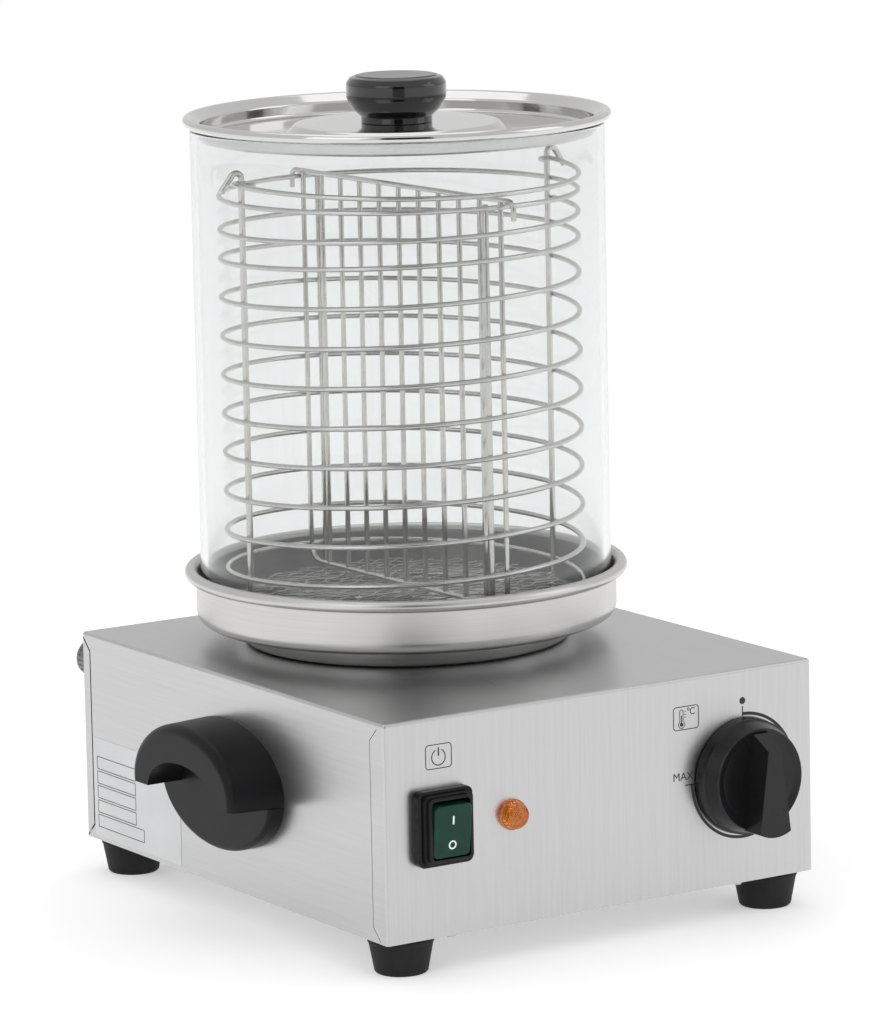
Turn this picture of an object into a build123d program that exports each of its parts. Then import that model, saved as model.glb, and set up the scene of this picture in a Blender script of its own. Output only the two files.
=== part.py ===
from build123d import *
import os
from math import atan2, cos, degrees, pi, radians, sin, sqrt

# Hot dog steamer with a glass cylinder: a brushed steel base with a heated plate, a water pan on the plate,
# a glass tube standing in the pan, a coiled wire basket inside the tube and a lid with a knob on top.
# Millimetres. Z = 0 is the table, the controls face -Y, and X = 0 is the middle of the base.

os.makedirs("parts", exist_ok=True)

# ---- driving dimensions -------------------------------------------------------------------------------
BASE_W = 241.0          # base width, along X
BASE_D = 276.0          # base depth, along Y
BASE_H = 103.0          # height of the sheet steel base alone
FOOT_H = 17.0           # clear height under the base
SHEET = 1.0             # base sheet thickness
BEND = 1.6              # outside bend radius of the base sheet
BASE_TOP = FOOT_H + BASE_H
FRONT = -BASE_D / 2
BACK = BASE_D / 2
SIDE = BASE_W / 2

TUBE_Y = 28.5           # the pan, tube, basket and lid share this axis, set back from the controls
GLASS_R = 100.0         # outside radius of the glass tube
GLASS_WALL = 3.5
GLASS_H = 240.0
CLEAR = 0.3             # gap between resting pieces of different bodies

PAN_SHEET = 0.8
PAN_WALL_R = 102.3      # outside radius of the pan wall
PAN_FOOT_R = 79.0       # radius of the lowered floor that stands on the hot plate
PAN_STEP = 9.8          # height of the ledge above the lowered floor
PAN_RIM_R = 104.8       # centre radius of the rolled rim
PAN_BEAD = 2.9
PAN_BOTTOM = BASE_TOP + CLEAR
PAN_RIM_Z = PAN_BOTTOM + 34.3
LEDGE_Z = PAN_BOTTOM + PAN_STEP + PAN_SHEET
GLASS_BOTTOM = LEDGE_Z + 1.1
GLASS_TOP = GLASS_BOTTOM + GLASS_H

LID_SHEET = 0.8
LID_BEAD = 2.35         # radius of the rolled lid rim
LID_RIM_R = 101.05
LID_RIM_Z = GLASS_TOP + CLEAR + LID_BEAD
LID_WALL_R = 95.8       # the lid's wall hangs inside the tube
LID_FLOOR_Z = GLASS_TOP - 6.2
LID_BOSS_R = 49.5
LID_BOSS_Z = GLASS_TOP

COIL_WIRE = 1.25        # wire radii
POST_WIRE = 1.5
BAR_WIRE = 1.3
BAIL_WIRE = 1.25
MESH_WIRE = 0.42
COIL_R = 86.7           # centre radius of the basket coil
POST_R = COIL_R - COIL_WIRE - POST_WIRE
POST_TURN = -4.0        # the first post's angle from +X
RING_Z = 338.5          # the closed ring above the coil
COIL_TOP_Z = 329.0
COIL_TIGHT_TURNS = 1.33
COIL_TIGHT_PITCH = 12.2
COIL_OPEN_TURNS = 8.92
COIL_OPEN_PITCH = 18.92
MESH_R = 77.0
MESH_Z = 143.8
MESH_STEP = 7.6
POST_FOOT_Z = LEDGE_Z + CLEAR
HOOK_R = 94.2           # radius that the hooked post ends reach
HOOK_Z = 350.9          # centre height of the hook bends
HOOK_BEND = 2.6
HOOK_SLOPE = 35.0       # degrees that the hooked ends lean out from straight down

RACK_TURN = 92.0        # the rack's plane, as an angle from +X
RACK_BAR_COUNT = 11
RACK_SPAN = 167.0       # between the outer bars' centres
RACK_TOP_Z = RING_Z + COIL_WIRE + BAR_WIRE + CLEAR
RACK_BOTTOM_Z = MESH_Z + 2 * MESH_WIRE + BAR_WIRE + 0.1
RACK_HOOK_R = 93.6

BAIL_R = 87.0
BAIL_Z = 348.0          # height of the bail's pivot line
BAIL_SLOPE = 2.2        # degrees that the bail hangs below level

KNOB_X = 80.2
CONTROL_Z = FOOT_H + 51.9
KNOB_R = 28.1
KNOB_H = 25.6
LAMP_X = -51.3
LAMP_R = 7.3
SWITCH_X = -90.7
SWITCH_Z = FOOT_H + 52.4
SWITCH_W = 29.5
SWITCH_H = 35.5
ROCKER_TILT = 6.0       # degrees from level, its lower end in
ROCKER_PIVOT = 2.8      # heights above the panel
ROCKER_BOTTOM = -5.0
ROCKER_TOP = 10.7

HANDLE_A = 50.5         # half length and half height of the handle's oval plate
HANDLE_B = 31.0
HANDLE_Z = FOOT_H + 51.7
HANDLE_PLATE = 8.0
HANDLE_REACH = 26.5
HANDLE_SCREW_Y = 37.5
HANDLE_SCREW_Z = FOOT_H + 52.0
FOOT_X = 103.5
FOOT_Y = 122.5
BOTTOM_SCREWS = [(x, y) for x in (-115.0, 115.0) for y in (-50.0, 48.0)] + [
    (x, y) for x in (-82.5, 80.0) for y in (-132.5, 132.5)]

PLATE_R = 69.4          # hot plate
RESET_X = -104.5
RESET_Z = FOOT_H + 85.3
GLAND_X = 62.0
GLAND_Z = FOOT_H + 34.0
REAR_REACH = KNOB_H       # how far the cable gland stands out behind


# ---- helpers ------------------------------------------------------------------------------------------
def rod(radius, length, start, axis="Z"):
    """Cylinder that starts at a point and runs along +X, +Y or +Z."""
    turn = {"X": (0, 90, 0), "Y": (-90, 0, 0), "Z": (0, 0, 0)}[axis]
    return Location(start, turn) * Cylinder(radius, length, align=(Align.CENTER, Align.CENTER, Align.MIN))


def block(low, high):
    """Box between two opposite corners."""
    size = [h - l for l, h in zip(low, high)]
    middle = [(l + h) / 2 for l, h in zip(low, high)]
    return Pos(*middle) * Box(*size)


def turned(outline):
    """Solid of revolution about the Z axis from a closed list of (radius, height) points."""
    return revolve(Plane.XZ * make_face(Polyline(*outline, close=True)), Axis.Z)


def turned_sheet(path, thickness, radius):
    """Sheet of revolution: an open (radius, height) path with rounded corners, thickened to its left."""
    line = FilletPolyline(*path, radius=radius)
    return revolve(Plane.XZ * make_face(offset(line, thickness, side=Side.LEFT)), Axis.Z)


def on_tube_axis(shape):
    return Pos(0, TUBE_Y, 0) * shape


def on_front(shape, x, z):
    """Turn a shape built along +Z so that it stands out of the front panel."""
    return Location((x, FRONT, z), (90, 0, 0)) * shape


def on_back(shape, x, z):
    """Turn a shape built along +Z so that it stands out of the back panel."""
    return Location((x, BACK, z), (-90, 0, 0)) * shape


def wire_along(path, radius):
    """Round wire swept along a path."""
    start = path @ 0
    heading = path % 0
    return sweep(Plane(origin=start, z_dir=heading) * Circle(radius), path=path)


def polar(radius, angle, z):
    return (radius * cos(radians(angle)), radius * sin(radians(angle)), z)


def group(shapes):
    return Compound(list(shapes))


def save(shape, node):
    export_step(shape, f"parts/{node}.step")


# ---- base: sheet metal --------------------------------------------------------------------------------
def housing_shell():
    """One folded sheet: top, front, back and sides, with inward flanges along the bottom."""
    outer = Pos(0, 0, FOOT_H + BASE_H / 2) * Box(BASE_W, BASE_D, BASE_H)
    outer = fillet(outer.edges().filter_by(Axis.Z), BEND)
    outer = fillet(outer.faces().sort_by(Axis.Z)[-1].edges(), BEND)
    inner = Pos(0, 0, FOOT_H + (BASE_H - SHEET) / 2 - 5) * Box(
        BASE_W - 2 * SHEET, BASE_D - 2 * SHEET, BASE_H - SHEET + 10)
    inner = fillet(inner.edges().filter_by(Axis.Z), BEND - SHEET)
    inner = fillet(inner.faces().sort_by(Axis.Z)[-1].edges(), BEND - SHEET)
    shell = outer - inner

    flange_z = FOOT_H + 2.2
    flange = block((-SIDE + SHEET, FRONT + SHEET, flange_z), (SIDE - SHEET, BACK - SHEET, flange_z + SHEET))
    flange -= block((-SIDE + 14, FRONT + 14, flange_z - 1), (SIDE - 14, BACK - 14, flange_z + 2))
    shell = shell + flange

    # seams of the folded corners, seen on both sides: a hairline in front and an open slot behind
    for side in (-1, 1):
        shell -= side_seam(side, FRONT + 11.8, -1, 0.35)
        shell -= side_seam(side, BACK - 7.6, 1, 0.9)

    # openings for the hot plate, the controls, the rear fittings and the screws
    shell -= on_tube_axis(rod(PLATE_R + 0.6, 10, (0, 0, BASE_TOP - 5)))
    shell -= block((SWITCH_X - 11.2, FRONT - 2, SWITCH_Z - 15.2), (SWITCH_X + 11.2, FRONT + 3, SWITCH_Z + 15.2))
    shell -= rod(6.0, 6, (LAMP_X, FRONT - 3, CONTROL_Z), "Y")
    shell -= rod(5.0, 6, (KNOB_X, FRONT - 3, CONTROL_Z), "Y")
    for x in (KNOB_X - 14, KNOB_X + 14):
        shell -= rod(2.2, 6, (x, FRONT - 3, CONTROL_Z), "Y")
    shell -= rod(10.2, 6, (GLAND_X, BACK - 3, GLAND_Z), "Y")
    shell -= rod(5.2, 6, (RESET_X, BACK - 3, RESET_Z), "Y")
    for x in (-SIDE, SIDE):
        for y in (-HANDLE_SCREW_Y, HANDLE_SCREW_Y):
            shell -= rod(2.2, 8, (x - 4, y, HANDLE_SCREW_Z), "X")
    for x, y in BOTTOM_SCREWS:
        shell -= rod(1.6, 4, (x, y, flange_z - 1))
    for x in (-FOOT_X, FOOT_X):
        for y in (-FOOT_Y, FOOT_Y):
            shell -= rod(5.6, 4, (x, y, flange_z - 1))
    return shell


def side_seam(side, y, toward, width):
    """Cut for one seam in a side wall: upright, with slanting ends that run to the corners."""
    low = FOOT_H + 7
    high = BASE_TOP - 9
    reach = 6.0
    x = side * SIDE
    cut = block((x - 3, y - width / 2, low), (x + 3, y + width / 2, high))
    for z, up in ((high, 1), (low, -1)):
        end = (y + toward * reach, z + up * reach)
        middle = ((y + end[0]) / 2, (z + end[1]) / 2)
        length = sqrt(2) * reach + width
        cut += Location((x, middle[0], middle[1]), (toward * up * 45, 0, 0)) * Box(6, length, width)
    return cut


def bottom_plate():
    plate = block((-SIDE + SHEET + 0.4, FRONT + SHEET + 0.4, FOOT_H + 1.1),
                  (SIDE - SHEET - 0.4, BACK - SHEET - 0.4, FOOT_H + 2.1))
    plate = fillet(plate.edges().filter_by(Axis.Z), 3)
    for x, y in BOTTOM_SCREWS:
        plate -= rod(1.9, 4, (x, y, FOOT_H))
    for x in (-FOOT_X, FOOT_X):
        for y in (-FOOT_Y, FOOT_Y):
            plate -= rod(2.7, 4, (x, y, FOOT_H))
    # cooling slots under the controls
    for row in range(5):
        for x in (-45.0, 0.0, 45.0):
            plate -= Pos(x, -60 + 14 * row, FOOT_H + 1.6) * extrude(SlotOverall(30, 4), 2, both=True)
    return plate


def domed_screw(head_r, head_h, shank_r, shank_l):
    """Screw that points up from the origin, its domed head below."""
    head = turned([(0, -head_h), (head_r * 0.62, -head_h * 0.86), (head_r, -head_h * 0.25), (head_r, 0), (0, 0)])
    head -= Pos(0, 0, -head_h) * Box(head_r * 0.95, 0.7, 1.2)
    head -= Pos(0, 0, -head_h) * Box(0.7, head_r * 0.95, 1.2)
    return head + rod(shank_r, shank_l, (0, 0, 0))


def bottom_screws():
    screw = domed_screw(3.6, 3.4, 1.5, 8)
    return group([Pos(x, y, FOOT_H + 1.05) * screw for x, y in BOTTOM_SCREWS])


def foot():
    body = turned([(0, 0), (11.6, 0), (12.5, 0.9), (15.0, FOOT_H - 2.8), (15.5, FOOT_H - 2.2), (15.5, FOOT_H - 0.6),
                   (13.0, FOOT_H - 0.6), (13.0, FOOT_H + 1.0), (0, FOOT_H + 1.0)])
    body -= rod(5.4, 8.0, (0, 0, -1))
    body -= rod(2.7, 30, (0, 0, 0))
    return body


def foot_screws():
    head = rod(4.6, 2.6, (0, 0, 4.3)) - Pos(0, 0, 4.4) * Box(6.6, 0.9, 1.6)
    screw = head + rod(2.45, 20.5, (0, 0, 6.9))
    nut = extrude(Pos(0, 0, FOOT_H + 2.15) * (RegularPolygon(4.4, 6) - Circle(2.5)), 3.4)
    return group([Pos(x, y, 0) * part for part in (screw, nut)
                  for x in (-FOOT_X, FOOT_X) for y in (-FOOT_Y, FOOT_Y)])


# ---- base: handles ------------------------------------------------------------------------------------
def handle():
    """Cup handle that stands out of a side wall along +Z of its own frame, its length along X."""
    leg_z = -3.2
    plate = extrude(Ellipse(HANDLE_A, HANDLE_B), HANDLE_PLATE)
    plate = fillet(plate.faces().sort_by(Axis.Z)[-1].edges(), 2.2)
    plate &= block((-60, -60, -1), (60, leg_z, 60))
    cup = loft([Ellipse(HANDLE_A, HANDLE_B), Pos(0, 0, HANDLE_REACH) * Ellipse(HANDLE_A - 4.5, HANDLE_B - 0.7)])
    cup = fillet(cup.faces().sort_by(Axis.Z)[-1].edges(), 5.0)
    cup &= block((-60, leg_z, -1), (60, 60, 60))
    mouth = extrude(Pos(0, leg_z) * Ellipse(30.6, 15.4), HANDLE_REACH + 2)
    cup -= mouth & block((-60, leg_z - 20, HANDLE_PLATE), (60, 60, 60))
    body = plate + cup
    for x in (-HANDLE_SCREW_Y, HANDLE_SCREW_Y):
        body -= rod(1.75, 13, (x, HANDLE_SCREW_Z - HANDLE_Z, -1))
    return body


def handle_on(side):
    """Place a handle on the left (-1) or right (+1) wall, its opening downwards."""
    plane = Plane(origin=(side * SIDE, 0, HANDLE_Z), x_dir=(0, side, 0), z_dir=(side, 0, 0))
    return plane.location * handle()


def handle_screws():
    shapes = []
    for side in (-1, 1):
        for y in (-HANDLE_SCREW_Y, HANDLE_SCREW_Y):
            wall = side * (SIDE - SHEET - 0.05)
            head = rod(3.8, 2.4, (wall - 2.4 if side > 0 else wall, y, HANDLE_SCREW_Z), "X")
            shank = rod(1.7, 11.5, (wall if side > 0 else wall - 11.5, y, HANDLE_SCREW_Z), "X")
            shapes.append(head + shank)
    return group(shapes)


# ---- base: heater -------------------------------------------------------------------------------------
ELEMENT_R = 50.0
ELEMENT_WIRE = 3.9
STUD_R = 62.0


def hot_plate():
    plate = turned([(0, BASE_TOP - 9), (PLATE_R + 6, BASE_TOP - 9), (PLATE_R + 6, BASE_TOP - 1.2),
                    (PLATE_R, BASE_TOP - 1.2), (PLATE_R, BASE_TOP), (0, BASE_TOP)])
    groove = Pos(0, 0, BASE_TOP - 9) * Torus(ELEMENT_R, ELEMENT_WIRE + 0.1)
    plate -= groove
    for angle in (90, 210, 330):
        x, y, z = polar(STUD_R, angle, BASE_TOP - 25)
        plate += rod(2.5, 18, (x, y, z))
    return on_tube_axis(plate)


def heating_element():
    """Tubular element: a nearly closed ring with two cold ends that drop towards the terminals."""
    ring_z = BASE_TOP - 9
    gap = 9.0
    ring = CenterArc((0, 0, ring_z), ELEMENT_R, -90 + gap, 360 - 2 * gap)
    coil = wire_along(ring, ELEMENT_WIRE)
    for angle in (-90 + gap, -90 - gap):
        x, y, z = polar(ELEMENT_R, angle, ring_z)
        coil += Pos(x, y, z) * Sphere(ELEMENT_WIRE)
        coil += rod(ELEMENT_WIRE, 24, (x, y, z - 24))
        coil += rod(1.6, 12, (x, y, z - 35))
    return on_tube_axis(coil)


def element_clamp():
    """Pressed disc that holds the element up against the hot plate, with a nut on each stud."""
    z = BASE_TOP - 9 - ELEMENT_WIRE - 1.8
    disc = rod(STUD_R + 8, 1.6, (0, 0, z)) - rod(18, 4, (0, 0, z - 1))
    for angle in (90, 210, 330):
        x, y, _ = polar(STUD_R, angle, 0)
        disc -= rod(2.7, 4, (x, y, z - 1))
    for angle in (-81, -99):
        x, y, _ = polar(ELEMENT_R, angle, 0)
        disc -= rod(4.6, 4, (x, y, z - 1))
    return on_tube_axis(disc)


def clamp_nuts():
    z = BASE_TOP - 9 - ELEMENT_WIRE - 1.8 - 4.2
    nut = extrude(RegularPolygon(4.6, 6) - Circle(2.55), 4.0)
    return on_tube_axis(group([Pos(*polar(STUD_R, angle, z)) * nut for angle in (90, 210, 330)]))


def heat_shield():
    """Shallow tray between the heater and the wiring, hung from the top sheet by four tabs."""
    z = BASE_TOP - 42
    tray = turned([(0, z), (88, z), (92, z + 14), (91, z + 14), (87.2, z + 1), (0, z + 1)])
    for x in (-24, 24):
        for y in (-84, 84):
            tray += block((x - 6, y - 0.5, z + 1), (x + 6, y + 0.5, BASE_TOP - SHEET - 0.1))
    tray -= Pos(0, -50, z) * Box(36, 22, 6)
    return on_tube_axis(tray)


# ---- base: controls -----------------------------------------------------------------------------------
def thermostat_body():
    """Capillary thermostat behind the panel, with a threaded boss around its shaft."""
    depth = 27.0
    body = block((KNOB_X - 19, FRONT + SHEET + 0.3, CONTROL_Z - 16),
                 (KNOB_X + 19, FRONT + SHEET + depth, CONTROL_Z + 16))
    body = fillet(body.edges().filter_by(Axis.Y), 3)
    body += rod(4.8, 1.2, (KNOB_X, FRONT + 0.1, CONTROL_Z), "Y")
    body -= rod(3.08, depth - 6, (KNOB_X, FRONT - 1, CONTROL_Z), "Y")
    for x in (KNOB_X - 14, KNOB_X + 14):
        body -= rod(1.95, 8, (x, FRONT, CONTROL_Z), "Y")
    for x in (KNOB_X - 10, KNOB_X, KNOB_X + 10):
        body += block((x - 0.4, FRONT + SHEET + depth, CONTROL_Z - 10),
                      (x + 0.4, FRONT + SHEET + depth + 8, CONTROL_Z - 4))
    return body


def thermostat_screws():
    shapes = []
    for x in (KNOB_X - 14, KNOB_X + 14):
        shapes.append(rod(3.4, 1.2, (x, FRONT - 1.25, CONTROL_Z), "Y")
                      + rod(1.85, 7.0, (x, FRONT - 0.1, CONTROL_Z), "Y"))
    return group(shapes)


def thermostat_shaft():
    """D-section shaft from the thermostat into the knob."""
    shaft = rod(3.0, 32, (KNOB_X, FRONT - 13, CONTROL_Z), "Y")
    flat = block((KNOB_X - 4, FRONT - 14, CONTROL_Z + 2.2), (KNOB_X + 4, FRONT - 1.5, CONTROL_Z + 4))
    return shaft - flat


def thermostat_knob():
    """Round knob with a dished face and a tapering grip bar whose narrow end points at the dial."""
    body = turned([(0, 2.2), (25.4, 2.2), (25.4, 0.7), (KNOB_R, 0.7), (KNOB_R - 0.5, 5.2), (KNOB_R - 1.4, 6.0),
                   (KNOB_R - 1.8, 7.2), (24.6, 13.2), (24.0, 13.9), (23.2, 13.7), (20.5, 12.6), (0, 10.2)])
    tail, mid, nose = -25.2, 16.0, 22.6
    outline = Polyline((-8.8, tail + 1.9), (-3.7, mid), (-4.4, nose), (4.4, nose), (3.7, mid), (8.8, tail + 1.9))
    tail_arc = ThreePointArc((8.8, tail + 1.9), (0, tail - 0.4), (-8.8, tail + 1.9))
    bar = extrude(make_face(outline + tail_arc), KNOB_H)
    bar -= block((-60, -60, -1), (60, 60, 3))
    wedge = Polyline((mid, KNOB_H), (nose + 1.5, 12.6), (nose + 9, 12.6), (nose + 9, KNOB_H + 4),
                     (mid, KNOB_H + 4), close=True)
    bar -= Pos(-12, 0, 0) * extrude(Plane.YZ * make_face(wedge), 24)
    under_tail = block((-12, -32, 0), (12, -24.5, 10.5))
    knob = body + (bar - under_tail)
    knob -= rod(3.02, 14, (0, 0, -1)) - block((-4, 2.22, -2), (4, 5, 14))
    return on_front(knob, KNOB_X, CONTROL_Z)


def thermostat_capillary():
    """Sensing bulb under the hot plate and its thin tube down to the thermostat."""
    bulb_y = TUBE_Y - 18
    bulb_z = BASE_TOP - 12.5
    bulb = rod(3.0, 50, (-25, bulb_y, bulb_z), "X")
    path = Spline((25, bulb_y, bulb_z), (38, bulb_y - 4, bulb_z - 2), (66, -44, bulb_z - 14),
                  (KNOB_X, -80, CONTROL_Z + 12), (KNOB_X, FRONT + 28.2, CONTROL_Z + 9),
                  tangents=[(1, 0, 0), (0, -1, 0)])
    return bulb + wire_along(path, 1.0)


def switch_frame():
    """Housing of the rocker switch: a bezel on the panel and a box behind it that carries the pivot."""
    bezel = extrude(RectangleRounded(SWITCH_W, SWITCH_H, 3.2), 5.4)
    bezel = fillet(bezel.faces().sort_by(Axis.Z)[-1].edges(), 1.0)
    box = Pos(0, 0, -11) * Box(22, 30, 22)
    frame = bezel + box
    frame -= Pos(0, 0, -7.3) * Box(20.5, 27.6, 26)
    frame -= rod(1.26, 22, (-11, 0, ROCKER_PIVOT), "X")
    return on_front(frame, SWITCH_X, SWITCH_Z)


def switch_boot():
    """Stepped rubber surround that seals the rocker."""
    low = extrude(RectangleRounded(26.2, 32.4, 3.0), 2.2)
    high = Pos(0, 0, 2.2) * extrude(RectangleRounded(23.6, 30.0, 2.6), 2.0)
    boot = fillet((low + high).faces().sort_by(Axis.Z)[-1].edges(), 0.6)
    boot -= extrude(RectangleRounded(20.5, 27.4, 1.6), 12, both=True)
    return on_front(Pos(0, 0, 5.45) * boot, SWITCH_X, SWITCH_Z)


def rocker():
    """Rocker paddle with its pivot pin, tilted so that its lower end is pressed in."""
    paddle = Pos(0, 0, ROCKER_BOTTOM) * extrude(RectangleRounded(19.9, 24.8, 2.5), ROCKER_TOP - ROCKER_BOTTOM)
    paddle = fillet(paddle.faces().sort_by(Axis.Z)[-1].edges(), 0.6)
    paddle += rod(1.2, 21.8, (-10.9, 0, ROCKER_PIVOT), "X")
    pivot = Pos(0, 0, ROCKER_PIVOT) * Rot(ROCKER_TILT, 0, 0) * Pos(0, 0, -ROCKER_PIVOT)
    return on_front(pivot * paddle, SWITCH_X, SWITCH_Z)


def switch_terminals():
    tabs = [Pos(x, y, -26.3) * Box(0.8, 6.3, 8.4) for x in (-5, 5) for y in (-8, 8)]
    return on_front(group(tabs), SWITCH_X, SWITCH_Z)


def pilot_lamp_lens():
    """Amber lens: a flange on the panel and a stepped barrel with a flat front."""
    lens = turned([(0, 0.05), (LAMP_R, 0.05), (LAMP_R, 1.1), (LAMP_R - 0.5, 1.6), (6.5, 1.8), (6.3, 4.4), (5.6, 5.6),
                   (4.6, 6.2), (4.4, 5.9), (0, 5.9)])
    for radius in (1.1, 2.2, 3.3):
        lens += Pos(0, 0, 5.9) * (Cylinder(radius + 0.18, 0.5) - Cylinder(radius - 0.18, 0.6))
    lens -= rod(4.1, 6, (0, 0, -2.2))
    return on_front(lens, LAMP_X, CONTROL_Z)


def pilot_lamp_body():
    body = Pos(0, 0, -24) * (Cylinder(5.8, 23.9, align=(Align.CENTER, Align.CENTER, Align.MIN)))
    body += Pos(0, 0, -4.2) * Cylinder(8.0, 3.0, align=(Align.CENTER, Align.CENTER, Align.MIN))
    body += rod(3.6, 2.6, (0, 0, -0.2))
    for x in (-3, 3):
        body += Pos(x, 0, -27.5) * Box(0.8, 4.8, 8)
    return on_front(body, LAMP_X, CONTROL_Z)


# ---- base: rear fittings and wiring -------------------------------------------------------------------
def limiter_body():
    """Manual-reset temperature limiter inside the back wall."""
    body = rod(9.2, 24, (RESET_X, BACK - SHEET - 24.2, RESET_Z), "Y")
    body += rod(4.5, 1.5, (RESET_X, BACK - SHEET - 0.3, RESET_Z), "Y")
    body -= rod(3.4, 12, (RESET_X, BACK - 10, RESET_Z), "Y")
    return body


def reset_collar():
    """Metal collar that guards the reset button."""
    collar = turned([(4.6, 0.05), (9.5, 0.05), (9.5, 17.6), (8.3, 19.2), (4.6, 19.2)])
    for step in range(24):
        collar -= Rot(0, 0, 15 * step) * Pos(9.6, 0, 9) * Box(0.7, 0.7, 13)
    return on_back(collar, RESET_X, RESET_Z)


def reset_button():
    button = turned([(0, -6), (3.1, -6), (3.1, 2), (4.25, 2), (4.25, 20.0), (3.4, 20.8), (0, 20.8)])
    return on_back(button, RESET_X, RESET_Z)


def gland_body():
    """Lower half of the cable gland: a hexagon on the panel and a thread through it."""
    body = extrude(RegularPolygon(12.6, 6), 6.0) + rod(9.6, 14, (0, 0, 5.9))
    body += rod(9.9, 12, (0, 0, -12))
    body -= rod(5.6, 60, (0, 0, -30))
    body -= rod(7.2, 14, (0, 0, 9.0))
    return on_back(Pos(0, 0, 0.05) * body, GLAND_X, GLAND_Z)


def gland_nut():
    """Domed clamping nut."""
    nut = extrude(RegularPolygon(12.6, 6), 9) + turned([(0, 9), (11.2, 9), (10.6, 15), (7.4, 18.4), (0, 18.4)])
    nut -= rod(9.8, 14.2, (0, 0, -1))
    nut -= rod(6.0, 40, (0, 0, -1))
    return on_back(Pos(0, 0, REAR_REACH - 18.4) * nut, GLAND_X, GLAND_Z)


def gland_seal():
    seal = rod(7.0, 11.0, (0, 0, 9.3)) - rod(4.25, 40, (0, 0, -4))
    return on_back(seal, GLAND_X, GLAND_Z)


def gland_locknut():
    nut = extrude(RegularPolygon(14.4, 6) - Circle(10.0), 4.2)
    return on_back(Pos(0, 0, -SHEET - 4.3) * nut, GLAND_X, GLAND_Z)


def terminal_block():
    """Three-way screw terminal block on the bottom plate."""
    base = block((42, 70, FOOT_H + 2.2), (82, 88, FOOT_H + 20))
    for x in (50, 62, 74):
        base -= rod(2.6, 30, (x, 60, FOOT_H + 12), "Y")
        base -= rod(2.9, 12, (x, 79, FOOT_H + 14))
    return base


def terminal_screws():
    screws = []
    for x in (50, 62, 74):
        screw = rod(2.4, 3.0, (x, 79, FOOT_H + 15.2)) - Pos(x, 79, FOOT_H + 18.2) * Box(4.2, 0.7, 1.2)
        screws.append(screw)
    return group(screws)


def earth_stud():
    """Earth stud on the bottom plate with its washer and nut."""
    x, y, z = 96.0, 96.0, FOOT_H + 2.15
    stud = rod(2.0, 16, (x, y, z)) + rod(5.0, 1.2, (x, y, z))
    return stud + Pos(x, y, z + 1.2) * extrude(RegularPolygon(4.2, 6), 3.2)


def wiring():
    """Single-core leads between the terminal block, the controls and the element."""
    low = FOOT_H + 9
    routes = [
        [(50, 69.5, FOOT_H + 12), (40, 40, low), (-30, -20, low), (-86, -70, low + 6), (-95.7, -100, SWITCH_Z - 8)],
        [(62, 69.5, FOOT_H + 12), (58, 30, low + 3), (60, -40, low + 3), (70.2, -80, CONTROL_Z - 14),
         (70.2, -99, CONTROL_Z - 7)],
        [(-85.7, -100, SWITCH_Z + 8), (-70, -84, SWITCH_Z + 4), (-54, -96, CONTROL_Z), (-54.3, -104, CONTROL_Z)],
        [(90.2, -99, CONTROL_Z - 7), (84, -70, CONTROL_Z - 16), (40, -50, low + 18), (8.0, -30, low + 30),
         (7.8, -20.9, BASE_TOP - 47)],
    ]
    return group([wire_along(Spline(*points), 1.3) for points in routes])


def rating_label():
    """Thin foil plate on the left wall."""
    foil = block((-SIDE - 0.15, 46.0, FOOT_H + 2.2), (-SIDE - 0.01, 129.0, FOOT_H + 51.5))
    foil = fillet(foil.edges().filter_by(Axis.X), 1.2)
    oval = extrude(Ellipse(HANDLE_A + 0.3, HANDLE_B + 0.3), 2, both=True)
    return foil - Plane(origin=(-SIDE, 0, HANDLE_Z), x_dir=(0, -1, 0), z_dir=(-1, 0, 0)).location * oval


# ---- water pan, tube and lid --------------------------------------------------------------------------
def pan():
    """Spun water pan with a lowered floor, a ledge for the glass tube and a rolled rim."""
    wall_top = PAN_RIM_Z + PAN_BEAD - 1.0
    path = [(0.01, PAN_BOTTOM), (PAN_FOOT_R, PAN_BOTTOM), (PAN_FOOT_R + 3.6, PAN_BOTTOM + PAN_STEP),
            (PAN_WALL_R, PAN_BOTTOM + PAN_STEP), (PAN_WALL_R, wall_top)]
    dish = turned_sheet(path, PAN_SHEET, 4.0)
    dish += rod(0.5, PAN_SHEET, (0, 0, PAN_BOTTOM))
    dish += Pos(0, 0, PAN_RIM_Z) * Torus(PAN_RIM_R, PAN_BEAD)
    return on_tube_axis(dish)


def glass_cylinder():
    tube = turned([(GLASS_R - GLASS_WALL, GLASS_BOTTOM), (GLASS_R, GLASS_BOTTOM), (GLASS_R, GLASS_TOP),
                   (GLASS_R - GLASS_WALL, GLASS_TOP)])
    tube = fillet(tube.edges().filter_by(GeomType.CIRCLE), 0.9)
    return on_tube_axis(tube)


def lid_pan():
    """Dished lid: a rolled rim on the glass, a wall inside it, a sunk floor and a raised centre."""
    flange_low = GLASS_TOP + 0.6
    flange_high = LID_RIM_Z + 1.55
    path = [(0.01, LID_BOSS_Z - LID_SHEET), (LID_BOSS_R, LID_BOSS_Z - LID_SHEET), (LID_BOSS_R + 5.1, LID_FLOOR_Z),
            (LID_WALL_R, LID_FLOOR_Z), (LID_WALL_R, flange_low), (LID_RIM_R, flange_high)]
    dish = turned_sheet(path, LID_SHEET, 2.0)
    dish += rod(0.5, LID_SHEET, (0, 0, LID_BOSS_Z - LID_SHEET))
    dish += Pos(0, 0, LID_RIM_Z) * Torus(LID_RIM_R, LID_BEAD)
    dish -= rod(2.7, 6, (0, 0, LID_BOSS_Z - 3))
    return on_tube_axis(dish)


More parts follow.
